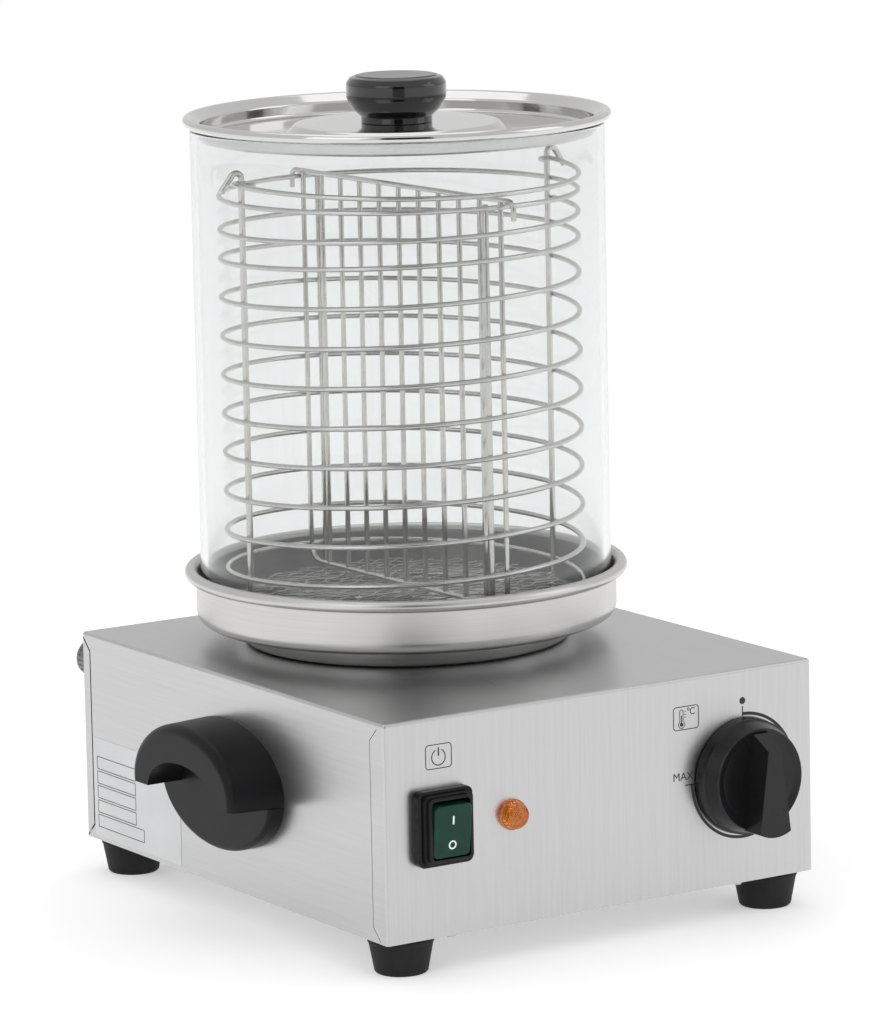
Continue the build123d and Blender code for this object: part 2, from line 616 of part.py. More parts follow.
def lid_knob():
    """Mushroom knob: a short neck, a bowl, an upright band and a rounded shoulder round a sunk disc."""
    neck = LID_BOSS_Z + 0.02
    body = turned([(0, 0), (17.2, 0), (17.2, 3.4), (19.4, 5.4), (21.6, 8.0), (23.4, 11.2), (24.25, 13.4), (24.25, 18.2),
                   (23.6, 19.8), (22.0, 21.6), (20.4, 22.6), (19.8, 22.6), (19.6, 22.2), (0, 22.2)])
    body -= rod(2.6, 13, (0, 0, -1))
    return on_tube_axis(Pos(0, 0, neck) * body)


def knob_disc():
    """Metal-look inset on top of the lid knob."""
    return on_tube_axis(turned([(0, 22.22), (19.4, 22.22), (19.4, 22.6), (18.9, 23.0), (0, 23.0)])
                        .moved(Location((0, 0, LID_BOSS_Z + 0.02))))


def lid_screw():
    head = rod(4.4, 2.6, (0, 0, LID_BOSS_Z - LID_SHEET - 1.05 - 2.6))
    head -= Pos(0, 0, LID_BOSS_Z - LID_SHEET - 3.6) * Box(6, 0.9, 1.4)
    return on_tube_axis(head + rod(2.5, 12, (0, 0, LID_BOSS_Z - LID_SHEET - 1.05)))


def lid_washer():
    washer = rod(7.5, 1.0, (0, 0, LID_BOSS_Z - LID_SHEET - 1.02)) - rod(2.65, 4, (0, 0, LID_BOSS_Z - 4))
    return on_tube_axis(washer)


# ---- basket -------------------------------------------------------------------------------------------
def helix_wire(turns, pitch, start_angle, start_z):
    """Wire that winds down from a start point, clockwise as seen from above."""
    path = Helix(pitch, pitch * turns, COIL_R)
    drop = 360 * turns
    placed = Location((0, 0, start_z - pitch * turns), (0, 0, start_angle - drop)) * path
    return wire_along(placed, COIL_WIRE), start_angle - drop, start_z - pitch * turns


def basket_coil():
    """One wire: a tighter start at the +X post, then even turns down to the front post."""
    tight, angle, z = helix_wire(COIL_TIGHT_TURNS, COIL_TIGHT_PITCH, POST_TURN, COIL_TOP_Z)
    wide, _, _ = helix_wire(COIL_OPEN_TURNS, COIL_OPEN_PITCH, angle, z)
    joint = Pos(*polar(COIL_R, angle, z)) * Sphere(COIL_WIRE)
    return on_tube_axis(tight + joint + wide)


def basket_ring():
    return on_tube_axis(Pos(0, 0, RING_Z) * Torus(COIL_R, COIL_WIRE))


def basket_hook_posts():
    """The two posts whose ends bend out and slope down over the ring to carry the bail."""
    centre = POST_R + HOOK_BEND
    slope = radians(HOOK_SLOPE)
    arm_start = (centre + HOOK_BEND * cos(slope), HOOK_Z + HOOK_BEND * sin(slope))
    arm = (HOOK_R - arm_start[0]) / sin(slope)
    top = radians(90 + HOOK_SLOPE / 2)
    posts = []
    for angle in (POST_TURN, POST_TURN + 180):
        line = Polyline((POST_R, 0, POST_FOOT_Z), (POST_R, 0, HOOK_Z))
        arc = ThreePointArc((POST_R, 0, HOOK_Z), (centre + HOOK_BEND * cos(top), 0, HOOK_Z + HOOK_BEND * sin(top)),
                            (arm_start[0], 0, arm_start[1]))
        tip = Polyline((arm_start[0], 0, arm_start[1]), (HOOK_R, 0, arm_start[1] - arm * cos(slope)))
        posts.append(Rot(0, 0, angle) * wire_along(line + arc + tip, POST_WIRE))
    return on_tube_axis(group(posts))


def basket_plain_posts():
    posts = []
    for angle in (POST_TURN + 90, POST_TURN - 90):
        x, y, z = polar(POST_R, angle, POST_FOOT_Z)
        posts.append(rod(POST_WIRE, RING_Z + 1.6 - z, (x, y, z)))
    return on_tube_axis(group(posts))


def basket_cross_wires():
    """Two wires that cross under the screen and tie opposite posts together."""
    length = 2 * (POST_R - POST_WIRE)
    upper = MESH_Z - 2 * MESH_WIRE - COIL_WIRE - 0.1
    wires = []
    for angle, z in ((POST_TURN, upper), (POST_TURN + 90, upper - 2 * COIL_WIRE)):
        wires.append(Rot(0, 0, angle) * rod(COIL_WIRE, length, (-length / 2, 0, z), "X"))
    return on_tube_axis(group(wires))


def basket_screen():
    """Round screen of two crossing layers of thin wire, lying diagonally."""
    count = int(MESH_R / MESH_STEP)
    wires = []
    for layer, turn in ((1, RACK_TURN + 62), (-1, RACK_TURN - 62)):
        for index in range(-count, count + 1):
            across = index * MESH_STEP
            half = sqrt(MESH_R ** 2 - across ** 2)
            wire = rod(MESH_WIRE, 2 * half, (-half, across, MESH_Z + layer * MESH_WIRE), "X")
            wires.append(Rot(0, 0, turn) * wire)
    return on_tube_axis(group(wires))


def rack_frame():
    """Divider outline: a top bar whose ends hook over the ring, and a U of the outer bars and the bottom."""
    half = RACK_SPAN / 2
    corner = 9.0
    top_ends = 4.0
    top = Polyline((-RACK_HOOK_R + top_ends, 0, RACK_TOP_Z), (RACK_HOOK_R - top_ends, 0, RACK_TOP_Z))
    shapes = [wire_along(top, BAR_WIRE)]
    for side in (-1, 1):
        bend = ThreePointArc((side * (RACK_HOOK_R - top_ends), 0, RACK_TOP_Z),
                             (side * (RACK_HOOK_R - top_ends * (1 - sqrt(0.5))), 0,
                              RACK_TOP_Z - top_ends * (1 - sqrt(0.5))),
                             (side * RACK_HOOK_R, 0, RACK_TOP_Z - top_ends))
        tip = Polyline((side * RACK_HOOK_R, 0, RACK_TOP_Z - top_ends), (side * RACK_HOOK_R, 0, RACK_TOP_Z - 9.0))
        shapes.append(wire_along(bend + tip, BAR_WIRE))
    rise = RACK_TOP_Z - 0.4
    left = Polyline((-half, 0, rise), (-half, 0, RACK_BOTTOM_Z + corner))
    right = Polyline((half, 0, RACK_BOTTOM_Z + corner), (half, 0, rise))
    bottom = Polyline((-half + corner, 0, RACK_BOTTOM_Z), (half - corner, 0, RACK_BOTTOM_Z))
    shift = corner * (1 - sqrt(0.5))
    left_bend = ThreePointArc((-half, 0, RACK_BOTTOM_Z + corner), (-half + shift, 0, RACK_BOTTOM_Z + shift),
                              (-half + corner, 0, RACK_BOTTOM_Z))
    right_bend = ThreePointArc((half - corner, 0, RACK_BOTTOM_Z), (half - shift, 0, RACK_BOTTOM_Z + shift),
                               (half, 0, RACK_BOTTOM_Z + corner))
    shapes.append(wire_along(left + left_bend + bottom + right_bend + right, BAR_WIRE))
    frame = shapes[0]
    for shape in shapes[1:]:
        frame += shape
    return on_tube_axis(Rot(0, 0, RACK_TURN) * frame)


def rack_bars():
    """The upright bars between the outer two."""
    step = RACK_SPAN / (RACK_BAR_COUNT - 1)
    low = RACK_BOTTOM_Z + BAR_WIRE
    high = RACK_TOP_Z - BAR_WIRE
    bars = []
    for index in range(1, RACK_BAR_COUNT - 1):
        x = -RACK_SPAN / 2 + index * step
        bars.append(rod(BAR_WIRE, high - low, (x, 0, low)))
    return on_tube_axis(Rot(0, 0, RACK_TURN) * group(bars))


def bail_handle():
    """Half-ring bail lying over the front of the ring, with an open eye round each hooked post."""
    eye = POST_WIRE + BAIL_WIRE + 0.5
    lead = 6.5
    right_start = (POST_R, eye, 0)
    points_right = [(POST_R - eye, 0, 0), (POST_R, eye, 0), (POST_R + eye, 0, 0)]
    left_eye = ThreePointArc((-points_right[0][0], 0, 0), (-POST_R, eye, 0), (-points_right[2][0], 0, 0))
    right_eye = ThreePointArc(points_right[0], right_start, points_right[2])
    reach = POST_R + eye
    arc = ThreePointArc((-reach, 0, 0), (0, -reach, 0), (reach, 0, 0))
    stub = Polyline((-POST_R + eye, -lead, 0), (-POST_R + eye, 0, 0))
    stub_right = Polyline((POST_R - eye, 0, 0), (POST_R - eye, -lead, 0))
    path = stub + left_eye + arc + right_eye + stub_right
    bail = wire_along(Wire(path.edges()), BAIL_WIRE)
    return on_tube_axis(Location((0, 0, BAIL_Z), (0, 0, POST_TURN)) * Rot(BAIL_SLOPE, 0, 0) * bail)


# ---- write every node ---------------------------------------------------------------------------------
NODES = {
    "housing_shell": housing_shell, "bottom_plate": bottom_plate, "bottom_screws": bottom_screws,
    "foot_screws": foot_screws, "handle_screws": handle_screws,
    "hot_plate": hot_plate, "heating_element": heating_element, "element_clamp": element_clamp,
    "clamp_nuts": clamp_nuts, "heat_shield": heat_shield,
    "thermostat_body": thermostat_body, "thermostat_screws": thermostat_screws,
    "thermostat_shaft": thermostat_shaft, "thermostat_knob": thermostat_knob,
    "thermostat_capillary": thermostat_capillary,
    "switch_frame": switch_frame, "switch_boot": switch_boot, "rocker": rocker,
    "switch_terminals": switch_terminals,
    "pilot_lamp_lens": pilot_lamp_lens, "pilot_lamp_body": pilot_lamp_body,
    "limiter_body": limiter_body, "reset_collar": reset_collar, "reset_button": reset_button,
    "gland_body": gland_body, "gland_nut": gland_nut, "gland_seal": gland_seal, "gland_locknut": gland_locknut,
    "terminal_block": terminal_block, "terminal_screws": terminal_screws, "earth_stud": earth_stud,
    "wiring": wiring, "rating_label": rating_label,
    "pan": pan, "glass_cylinder": glass_cylinder,
    "lid_pan": lid_pan, "lid_knob": lid_knob, "knob_disc": knob_disc, "lid_screw": lid_screw,
    "lid_washer": lid_washer,
    "basket_coil": basket_coil, "basket_ring": basket_ring, "basket_hook_posts": basket_hook_posts,
    "basket_plain_posts": basket_plain_posts, "basket_cross_wires": basket_cross_wires,
    "basket_screen": basket_screen, "rack_frame": rack_frame, "rack_bars": rack_bars,
    "bail_handle": bail_handle,
}

for node, make in NODES.items():
    save(make(), node)

for name, side in (("handle_left", -1), ("handle_right", 1)):
    save(handle_on(side), name)

for name, x, y in (("foot_front_left", -1, -1), ("foot_front_right", 1, -1),
                   ("foot_rear_left", -1, 1), ("foot_rear_right", 1, 1)):
    save(Pos(x * FOOT_X, y * FOOT_Y, 0) * foot(), name)
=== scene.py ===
"""Looks of the hot dog steamer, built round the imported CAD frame.

Lengths below are in millimetres and become metres in the helpers. The frame has Z = 0 on the table, the
controls facing -Y and X = 0 in the middle of the base. Pan, glass tube, basket and lid share a vertical axis
at Y = TUBE_Y.
"""
import random
from math import cos, degrees, hypot, pi, radians, sin, sqrt

import bmesh
import bpy
from mathutils import Matrix, Vector


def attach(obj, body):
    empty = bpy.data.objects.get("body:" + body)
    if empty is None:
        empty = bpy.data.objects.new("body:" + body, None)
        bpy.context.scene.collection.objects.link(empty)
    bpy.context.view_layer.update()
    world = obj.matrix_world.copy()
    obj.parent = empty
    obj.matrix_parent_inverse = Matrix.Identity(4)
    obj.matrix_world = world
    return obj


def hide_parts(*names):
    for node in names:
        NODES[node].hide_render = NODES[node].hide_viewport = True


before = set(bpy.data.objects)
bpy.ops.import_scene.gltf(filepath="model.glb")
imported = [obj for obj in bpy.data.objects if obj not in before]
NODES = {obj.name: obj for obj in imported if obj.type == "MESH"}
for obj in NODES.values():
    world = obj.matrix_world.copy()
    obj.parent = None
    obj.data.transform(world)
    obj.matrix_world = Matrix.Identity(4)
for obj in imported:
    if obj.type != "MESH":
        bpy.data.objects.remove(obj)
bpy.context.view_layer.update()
random.seed(11)

MM = 0.001

# ---- sizes that the CAD model also has ----------------------------------------------------------------
FRONT = -138.0
SIDE = 120.5
TUBE_Y = 28.5
GLASS_R = 100.0
GLASS_WALL = 3.5
PAN_BOTTOM = 120.3
PAN_SHEET = 0.8
PAN_FOOT_R = 79.0
PAN_WALL_R = 102.3
PAN_STEP = 9.8
PAN_RIM_Z = PAN_BOTTOM + 34.3
PAN_RIM_R = 104.8
PAN_BEAD = 2.9
LEDGE_Z = PAN_BOTTOM + PAN_STEP + PAN_SHEET
GLASS_BOTTOM = LEDGE_Z + 1.1
GLASS_TOP = GLASS_BOTTOM + 240.0
LID_SHEET = 0.8
LID_BEAD = 2.35
LID_RIM_R = 101.05
LID_RIM_Z = GLASS_TOP + 0.3 + LID_BEAD
LID_WALL_R = 95.8
LID_FLOOR_Z = GLASS_TOP - 6.2
LID_BOSS_R = 49.5
COIL_R = 86.7
COIL_WIRE = 1.25
POST_WIRE = 1.5
BAR_WIRE = 1.3
BAIL_WIRE = 1.25
POST_R = COIL_R - COIL_WIRE - POST_WIRE
POST_TURN = -4.0
RING_Z = 338.5
COIL_TOP_Z = 329.0
TIGHT_TURNS = 1.33
TIGHT_PITCH = 12.2
OPEN_TURNS = 8.92
OPEN_PITCH = 18.92
MESH_R = 77.0
MESH_Z = 143.8
MESH_WIRE = 0.42
MESH_STEP = 7.6
POST_FOOT_Z = LEDGE_Z + 0.3
HOOK_R = 94.2
HOOK_Z = 350.9
HOOK_BEND = 2.6
HOOK_SLOPE = 35.0
RACK_TURN = 92.0
RACK_SPAN = 167.0
RACK_GAPS = 10
RACK_TOP_Z = RING_Z + COIL_WIRE + BAR_WIRE + 0.3
RACK_BOTTOM_Z = MESH_Z + 2 * MESH_WIRE + BAR_WIRE + 0.1
RACK_HOOK_R = 93.6
BAIL_Z = 348.0
BAIL_SLOPE = 2.2
BAIL_STUB = 6.5
KNOB_X = 80.2
CONTROL_Z = 68.9
SWITCH_X = -90.7
SWITCH_Z = 69.4
ROCKER_PIVOT = 2.8
ROCKER_TILT = 6.0
ROCKER_TOP = 10.7


# ---- mesh helpers -------------------------------------------------------------------------------------
def new_object(name, bm, sharp=38.0):
    """Object from a bmesh in millimetres, smooth except at edges sharper than an angle."""
    bmesh.ops.scale(bm, vec=(MM, MM, MM), verts=bm.verts)
    bmesh.ops.recalc_face_normals(bm, faces=bm.faces)
    mesh = bpy.data.meshes.new(name)
    bm.to_mesh(mesh)
    bm.free()
    mesh.polygons.foreach_set("use_smooth", [True] * len(mesh.polygons))
    mesh.set_sharp_from_angle(angle=radians(sharp))
    obj = bpy.data.objects.new(name, mesh)
    bpy.context.scene.collection.objects.link(obj)
    return obj


def rounded(points, closed=True, step=14.0):
    """Corner points (a, b, radius) turned into a smooth outline, each corner an arc of its radius."""
    out = []
    count = len(points)
    for i, (a, b, radius) in enumerate(points):
        here = Vector((a, b))
        ends = not closed and i in (0, count - 1)
        if radius <= 0 or ends:
            out.append(here)
            continue
        before = (Vector(points[i - 1][:2]) - here)
        after = (Vector(points[(i + 1) % count][:2]) - here)
        half = before.angle(after) / 2
        reach = min(radius / max(sin(half) / cos(half), 1e-6), 0.499 * before.length, 0.499 * after.length)
        turn = reach * sin(half) / cos(half)
        start = here + before.normalized() * reach
        middle = here + (before.normalized() + after.normalized()).normalized() * (turn / sin(half))
        spin = (pi - 2 * half) * (1 if before.cross(after) < 0 else -1)
        parts = max(2, int(abs(degrees(spin)) / step) + 1)
        arm = start - middle
        for k in range(parts + 1):
            t = spin * k / parts
            x, y = arm.x * cos(t) - arm.y * sin(t), arm.x * sin(t) + arm.y * cos(t)
            out.append(middle + Vector((x, y)))
    return [(p.x, p.y) for p in out]


def circle_points(radius, a, b, start=0.0, sweep=360.0, count=24):
    """Points on an arc in a profile plane."""
    last = count if sweep < 360 else count - 1
    angles = [radians(start + sweep * k / count) for k in range(last + 1)]
    return [(a + radius * cos(t), b + radius * sin(t)) for t in angles]


def supported(profile, reach=0.4, longest=4.0):
    """Outline with a point close to each end of a long straight run, so that round rims don't shade it."""
    out = []
    for (r, z), (next_r, next_z) in zip(profile, profile[1:] + profile[:1]):
        out.append((r, z))
        length = hypot(next_r - r, next_z - z)
        if length > longest and max(r, next_r) > 1e-6:
            for part in (reach / length, 1 - reach / length):
                out.append((r + (next_r - r) * part, z + (next_z - z) * part))
    return out


def lathe(profile, steps=160, bm=None):
    """Surface of revolution about Z from a closed (radius, height) outline."""
    bm = bm or bmesh.new()
    profile = supported(profile)
    rings = []
    for k in range(steps):
        t = 2 * pi * k / steps
        rings.append([bm.verts.new((max(r, 0.0) * cos(t), max(r, 0.0) * sin(t), z)) for r, z in profile])
    made = set()
    for k in range(steps):
        here, there = rings[k], rings[(k + 1) % steps]
        for i in range(len(profile)):
            j = (i + 1) % len(profile)
            if profile[i][0] < 1e-6 and profile[j][0] < 1e-6:
                continue
            made.add(bm.faces.new((here[i], there[i], there[j], here[j])))
    on_axis = [ring[i] for ring in rings for i in range(len(profile)) if profile[i][0] < 1e-6]
    if on_axis:
        bmesh.ops.remove_doubles(bm, verts=on_axis, dist=1e-5)
    return bm


def move(bm, matrix, verts=None):
    bmesh.ops.transform(bm, matrix=matrix, verts=verts or bm.verts)
    return bm


def prism(outline, low, high, edge=0.0, bm=None, rings=3):
    """Upright slab from a closed XY outline, its top edge rounded by insetting towards the middle."""
    bm = bm or bmesh.new()
    levels = [(0.0, low), (0.0, high - edge)]
    for k in range(1, rings + 1 if edge else 1):
        t = pi / 2 * k / rings
        levels.append((edge * (1 - cos(t)), high - edge * (1 - sin(t))))
    loops = []
    for inset, z in levels:
        loops.append([bm.verts.new((x, y, z)) for x, y in inset_outline(outline, inset)])
    count = len(outline)
    for below, above in zip(loops, loops[1:]):
        for i in range(count):
            j = (i + 1) % count
            bm.faces.new((below[i], below[j], above[j], above[i]))
    bm.faces.new(loops[-1])
    bm.faces.new(list(reversed(loops[0])))
    return bm


def inset_outline(outline, inset):
    """Counter-clockwise outline moved inwards by a small distance."""
    if inset == 0:
        return outline
    out = []
    count = len(outline)
    for i, (x, y) in enumerate(outline):
        ax, ay = outline[i - 1]
        bx, by = outline[(i + 1) % count]
        tx, ty = bx - ax, by - ay
        length = hypot(tx, ty) or 1.0
        out.append((x - ty / length * inset, y + tx / length * inset))
    return out


def tube(path, radius, sides=12, closed=False, bm=None, cut=0.35):
    """Round wire along a list of points, with slightly rounded cut ends."""
    bm = bm or bmesh.new()
    points = [Vector(p) for p in path]
    count = len(points)
    tangents = []
    for i in range(count):
        ahead = points[(i + 1) % count] if closed or i < count - 1 else points[i]
        behind = points[i - 1] if closed or i > 0 else points[i]
        tangents.append((ahead - behind).normalized())
    normal = tangents[0].orthogonal().normalized()
    frames = []
    for i in range(count):
        if i:
            normal = (normal - tangents[i] * normal.dot(tangents[i])).normalized()
        frames.append((points[i], normal.copy(), tangents[i].cross(normal), radius))
    if not closed:
        inset = radius * cut
        for end, sign in ((0, 1), (-1, -1)):
            point, n, b, _ = frames[end]
            along = tangents[end] * sign
            extra = [(point, n, b, radius - inset),
                     (point + along * inset * 0.35, n, b, radius - inset * 0.25),
                     (point + along * inset, n, b, radius)]
            if end == 0:
                frames = extra + frames[1:]
            else:
                frames = frames[:-1] + list(reversed(extra))
    turns = [2 * pi * k / sides for k in range(sides)]
    rings = [[bm.verts.new(p + (n * cos(t) + b * sin(t)) * r) for t in turns] for p, n, b, r in frames]
    pairs = list(zip(rings, rings[1:]))
    if closed:
        first = rings[0]
        last = rings[-1]
        shift = min(range(sides), key=lambda s: (last[0].co - first[s].co).length)
        pairs.append((last, first[shift:] + first[:shift]))
    for a, b in pairs:
        for k in range(sides):
            m = (k + 1) % sides
            bm.faces.new((a[k], a[m], b[m], b[k]))
    if not closed:
        bm.faces.new(list(reversed(rings[0])))
        bm.faces.new(rings[-1])
    return bm


def polar(radius, angle, z):
    return (radius * cos(radians(angle)), radius * sin(radians(angle)), z)


def arc3(centre, radius, start, stop, u, v, count=10):
    """Points on an arc in the plane of two unit vectors."""
    c, u, v = Vector(centre), Vector(u), Vector(v)
    out = []
    for k in range(count + 1):
        t = radians(start + (stop - start) * k / count)
        out.append(c + u * radius * cos(t) + v * radius * sin(t))
    return out


def line3(start, stop, count=2):
    a, b = Vector(start), Vector(stop)
    return [a + (b - a) * k / count for k in range(count + 1)]


def spread(points):
    """Drop points that repeat the one before."""
    out = [Vector(points[0])]
    for p in points[1:]:
        if (Vector(p) - out[-1]).length > 1e-4:
            out.append(Vector(p))
    return out


ON_AXIS = Matrix.Translation((0, TUBE_Y, 0))
UP = Vector((0, 0, 1))


def on_front(x, z):
    """Matrix that stands a shape built along +Z out of the front panel, its +Y upwards."""
    return Matrix.Translation((x, FRONT, z)) @ Matrix.Rotation(radians(90), 4, "X")


def on_left(y, z):
    """The same for the left wall, its +X towards the front."""
    turn = Matrix(((0, 0, -1, 0), (-1, 0, 0, 0), (0, 1, 0, 0), (0, 0, 0, 1)))
    return Matrix.Translation((-SIDE, y, z)) @ turn


def place(obj, material, body, nodes=()):
    """Give a finished piece its material, its body and the CAD nodes it stands for."""
    obj.data.materials.clear()
    obj.data.materials.append(material)
    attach(obj, body)
    if nodes:
        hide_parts(*nodes)
    return obj


# ---- material helpers ---------------------------------------------------------------------------------
class Shader:
    """Short way to write a node tree round one Principled shader."""

    def __init__(self, name, **values):
        self.material = bpy.data.materials.new(name)
        self.material.use_nodes = True
        self.tree = self.material.node_tree
        self.shader = self.tree.nodes["Principled BSDF"]
        for key, value in values.items():
            self.shader.inputs[key.replace("_", " ")].default_value = value
        self.coordinates = self.node("ShaderNodeTexCoord")

    def node(self, kind, links=None, **settings):
        made = self.tree.nodes.new(kind)
        for key, value in settings.items():
            setattr(made, key, value)
        for key, value in (links or {}).items():
            socket = made.inputs[key]
            if isinstance(value, bpy.types.NodeSocket):
                self.tree.links.new(value, socket)
            else:
                socket.default_value = value
        return made

    def math(self, operation, *values):
        made = self.node("ShaderNodeMath", dict(enumerate(values)), operation=operation)
        return made.outputs[0]

    def noise(self, vector, scale, detail=3.0, rough=0.55):
        return self.node("ShaderNodeTexNoise", {"Vector": vector, "Scale": scale, "Detail": detail,
                                                "Roughness": rough}).outputs["Fac"]

    def span(self, value, low, high, out_low, out_high):
        links = {0: value, 1: low, 2: high, 3: out_low, 4: out_high}
        return self.node("ShaderNodeMapRange", links).outputs[0]

    def ramp(self, value, *stops):
        """Colour ramp: stops are (position, (r, g, b))."""
        made = self.node("ShaderNodeValToRGB", {0: value})
        elements = made.color_ramp.elements
        while len(elements) < len(stops):
            elements.new(0.5)
        for element, (position, color) in zip(elements, stops):
            element.position = position
            element.color = (*color, 1.0)
        return made.outputs[0]

    def stretched(self, scale):
        """Object coordinates scaled per axis."""
        links = {"Vector": self.coordinates.outputs["Object"], "Scale": scale}
        return self.node("ShaderNodeMapping", links).outputs[0]

    def link(self, value, socket):
        self.tree.links.new(value, self.shader.inputs[socket])

    def bump(self, height, strength, distance, under=None):
        links = {"Height": height, "Strength": strength, "Distance": distance}
        if under is not None:
            links["Normal"] = under
        return self.node("ShaderNodeBump", links).outputs[0]


def brushed_sheet(name, color, rough, grain, aniso=0.0):
    """Stainless sheet with the grinding lines of one strip: upright on the front, level on top and sides."""
    s = Shader(name, Metallic=1.0, Anisotropic=aniso)
    place_xyz = s.node("ShaderNodeSeparateXYZ", {0: s.coordinates.outputs["Object"]}).outputs
    normal = s.node("ShaderNodeSeparateXYZ", {0: s.coordinates.outputs["Normal"]}).outputs
    on_side = s.math("GREATER_THAN", s.math("ABSOLUTE", normal[0]), 0.7)
    on_face = s.math("GREATER_THAN", s.math("ABSOLUTE", normal[1]), 0.7)
    across = s.node("ShaderNodeMix", {0: on_side, 2: place_xyz[0], 3: place_xyz[2]}).outputs[0]
    along = s.node("ShaderNodeMix", {0: on_face, 2: place_xyz[1], 3: place_xyz[2]}).outputs[0]
    lines = s.node("ShaderNodeCombineXYZ", {0: s.math("MULTIPLY", across, 2600.0),
                                            1: s.math("MULTIPLY", along, 26.0)})
    fine = s.noise(lines.outputs[0], 1.0, 4.0, 0.65)
    coarse = s.node("ShaderNodeCombineXYZ", {0: s.math("MULTIPLY", across, 520.0),
                                             1: s.math("MULTIPLY", along, 7.0)})
    broad = s.noise(coarse.outputs[0], 1.0, 3.0, 0.6)
    cloud = s.noise(s.stretched((9.0, 9.0, 9.0)), 1.0, 3.0)
    mixed = s.math("ADD", s.math("MULTIPLY", fine, 0.62), s.math("MULTIPLY", broad, 0.38))
    tone = s.math("ADD", s.math("MULTIPLY", mixed, 0.8), s.math("MULTIPLY", cloud, 0.2))
    low = tuple(c * (1 - grain) for c in color)
    high = tuple(min(1.0, c * (1 + grain)) for c in color)
    s.link(s.ramp(tone, (0.34, low), (0.66, high)), "Base Color")
    s.link(s.span(s.math("ADD", s.math("MULTIPLY", mixed, 0.7), s.math("MULTIPLY", cloud, 0.3)),
                  0.3, 0.7, rough - 0.035, rough + 0.045), "Roughness")
    s.link(s.bump(fine, 0.16, 0.00006), "Normal")
    if aniso:
        level = s.math("SUBTRACT", 1.0, on_face)
        direction = s.node("ShaderNodeCombineXYZ", {1: level, 2: on_face})
        turned = s.node("ShaderNodeVectorTransform", {0: direction.outputs[0]}, vector_type="VECTOR",
                        convert_from="OBJECT", convert_to="WORLD")
        s.link(turned.outputs[0], "Tangent")
    return s.material


def spun_steel(name, color, rough, grain=0.05, rings=900.0, bump=0.1, centre=TUBE_Y):
    """Stainless spun on a lathe: fine rings about the tube's axis, and faint wiped patches."""
    s = Shader(name, Metallic=1.0)
    xyz = s.node("ShaderNodeSeparateXYZ", {0: s.coordinates.outputs["Object"]}).outputs
    y = s.math("SUBTRACT", xyz[1], centre * MM)
    radius = s.math("SQRT", s.math("ADD", s.math("MULTIPLY", xyz[0], xyz[0]), s.math("MULTIPLY", y, y)))
    turn = s.math("ARCTAN2", y, xyz[0])
    coords = s.node("ShaderNodeCombineXYZ", {0: s.math("MULTIPLY", radius, rings),
                                             1: s.math("MULTIPLY", xyz[2], rings),
                                             2: s.math("MULTIPLY", s.math("SINE", turn), 0.8)})
    lines = s.noise(coords.outputs[0], 1.0, 4.0, 0.6)
    cloud = s.noise(s.stretched((22.0, 22.0, 14.0)), 1.0, 4.0)
    low = tuple(c * (1 - grain) for c in color)
    high = tuple(min(1.0, c * (1 + grain)) for c in color)
    s.link(s.ramp(s.math("ADD", s.math("MULTIPLY", lines, 0.6), s.math("MULTIPLY", cloud, 0.4)),
                  (0.36, low), (0.64, high)), "Base Color")
    s.link(s.span(cloud, 0.3, 0.7, rough * 0.82, rough * 1.22), "Roughness")
    s.link(s.bump(lines, bump, 0.00004), "Normal")
    return s.material


def wire_steel(name, color, rough, tint=0.10, scale=260.0):
    """Drawn stainless wire with fine scratches and slight stains."""
    s = Shader(name, Metallic=1.0)
    stain = s.noise(s.stretched((38.0, 38.0, 38.0)), 1.0, 4.0)
    fine = s.noise(s.stretched((scale, scale, scale)), 1.0, 3.0, 0.7)
    dark = tuple(c * (1 - tint * 2.0) for c in color)
    s.link(s.ramp(s.math("ADD", s.math("MULTIPLY", stain, 0.7), s.math("MULTIPLY", fine, 0.3)),
                  (0.30, dark), (0.50, color)), "Base Color")
    s.link(s.span(fine, 0.3, 0.7, rough * 0.75, rough * 1.3), "Roughness")
    s.link(s.bump(fine, 0.12, 0.00005), "Normal")
    return s.material


def moulded(name, color, rough, grain=1400.0, depth=0.12, spec=0.5, lift=1.5, coat=0.0):
    """Injection-moulded plastic: very fine spark texture and faint handling marks."""
    s = Shader(name, Coat_Weight=coat, Coat_Roughness=0.08, Specular_IOR_Level=spec)
    fine = s.noise(s.stretched((grain, grain, grain)), 1.0, 2.0, 0.6)
    marks = s.noise(s.stretched((34.0, 34.0, 34.0)), 1.0, 5.0, 0.65)
    bright = tuple(min(1.0, c * lift) for c in color)
    s.link(s.ramp(marks, (0.35, color), (0.75, bright)), "Base Color")
    s.link(s.span(marks, 0.3, 0.75, rough * 0.88, rough * 1.16), "Roughness")
    s.link(s.bump(fine, depth, 0.00008), "Normal")
    return s.material


def rubber(name, color, rough=0.62):
    s = Shader(name, Specular_IOR_Level=0.26)
    fine = s.noise(s.stretched((900.0, 900.0, 900.0)), 1.0, 3.0, 0.7)
    dust = s.noise(s.stretched((55.0, 55.0, 30.0)), 1.0, 6.0, 0.7)
    s.link(s.ramp(dust, (0.40, color), (0.80, tuple(c * 2.2 + 0.006 for c in color))), "Base Color")
    s.link(s.span(dust, 0.3, 0.75, rough * 0.92, rough * 1.1), "Roughness")
    s.link(s.bump(fine, 0.2, 0.0001), "Normal")
    return s.material


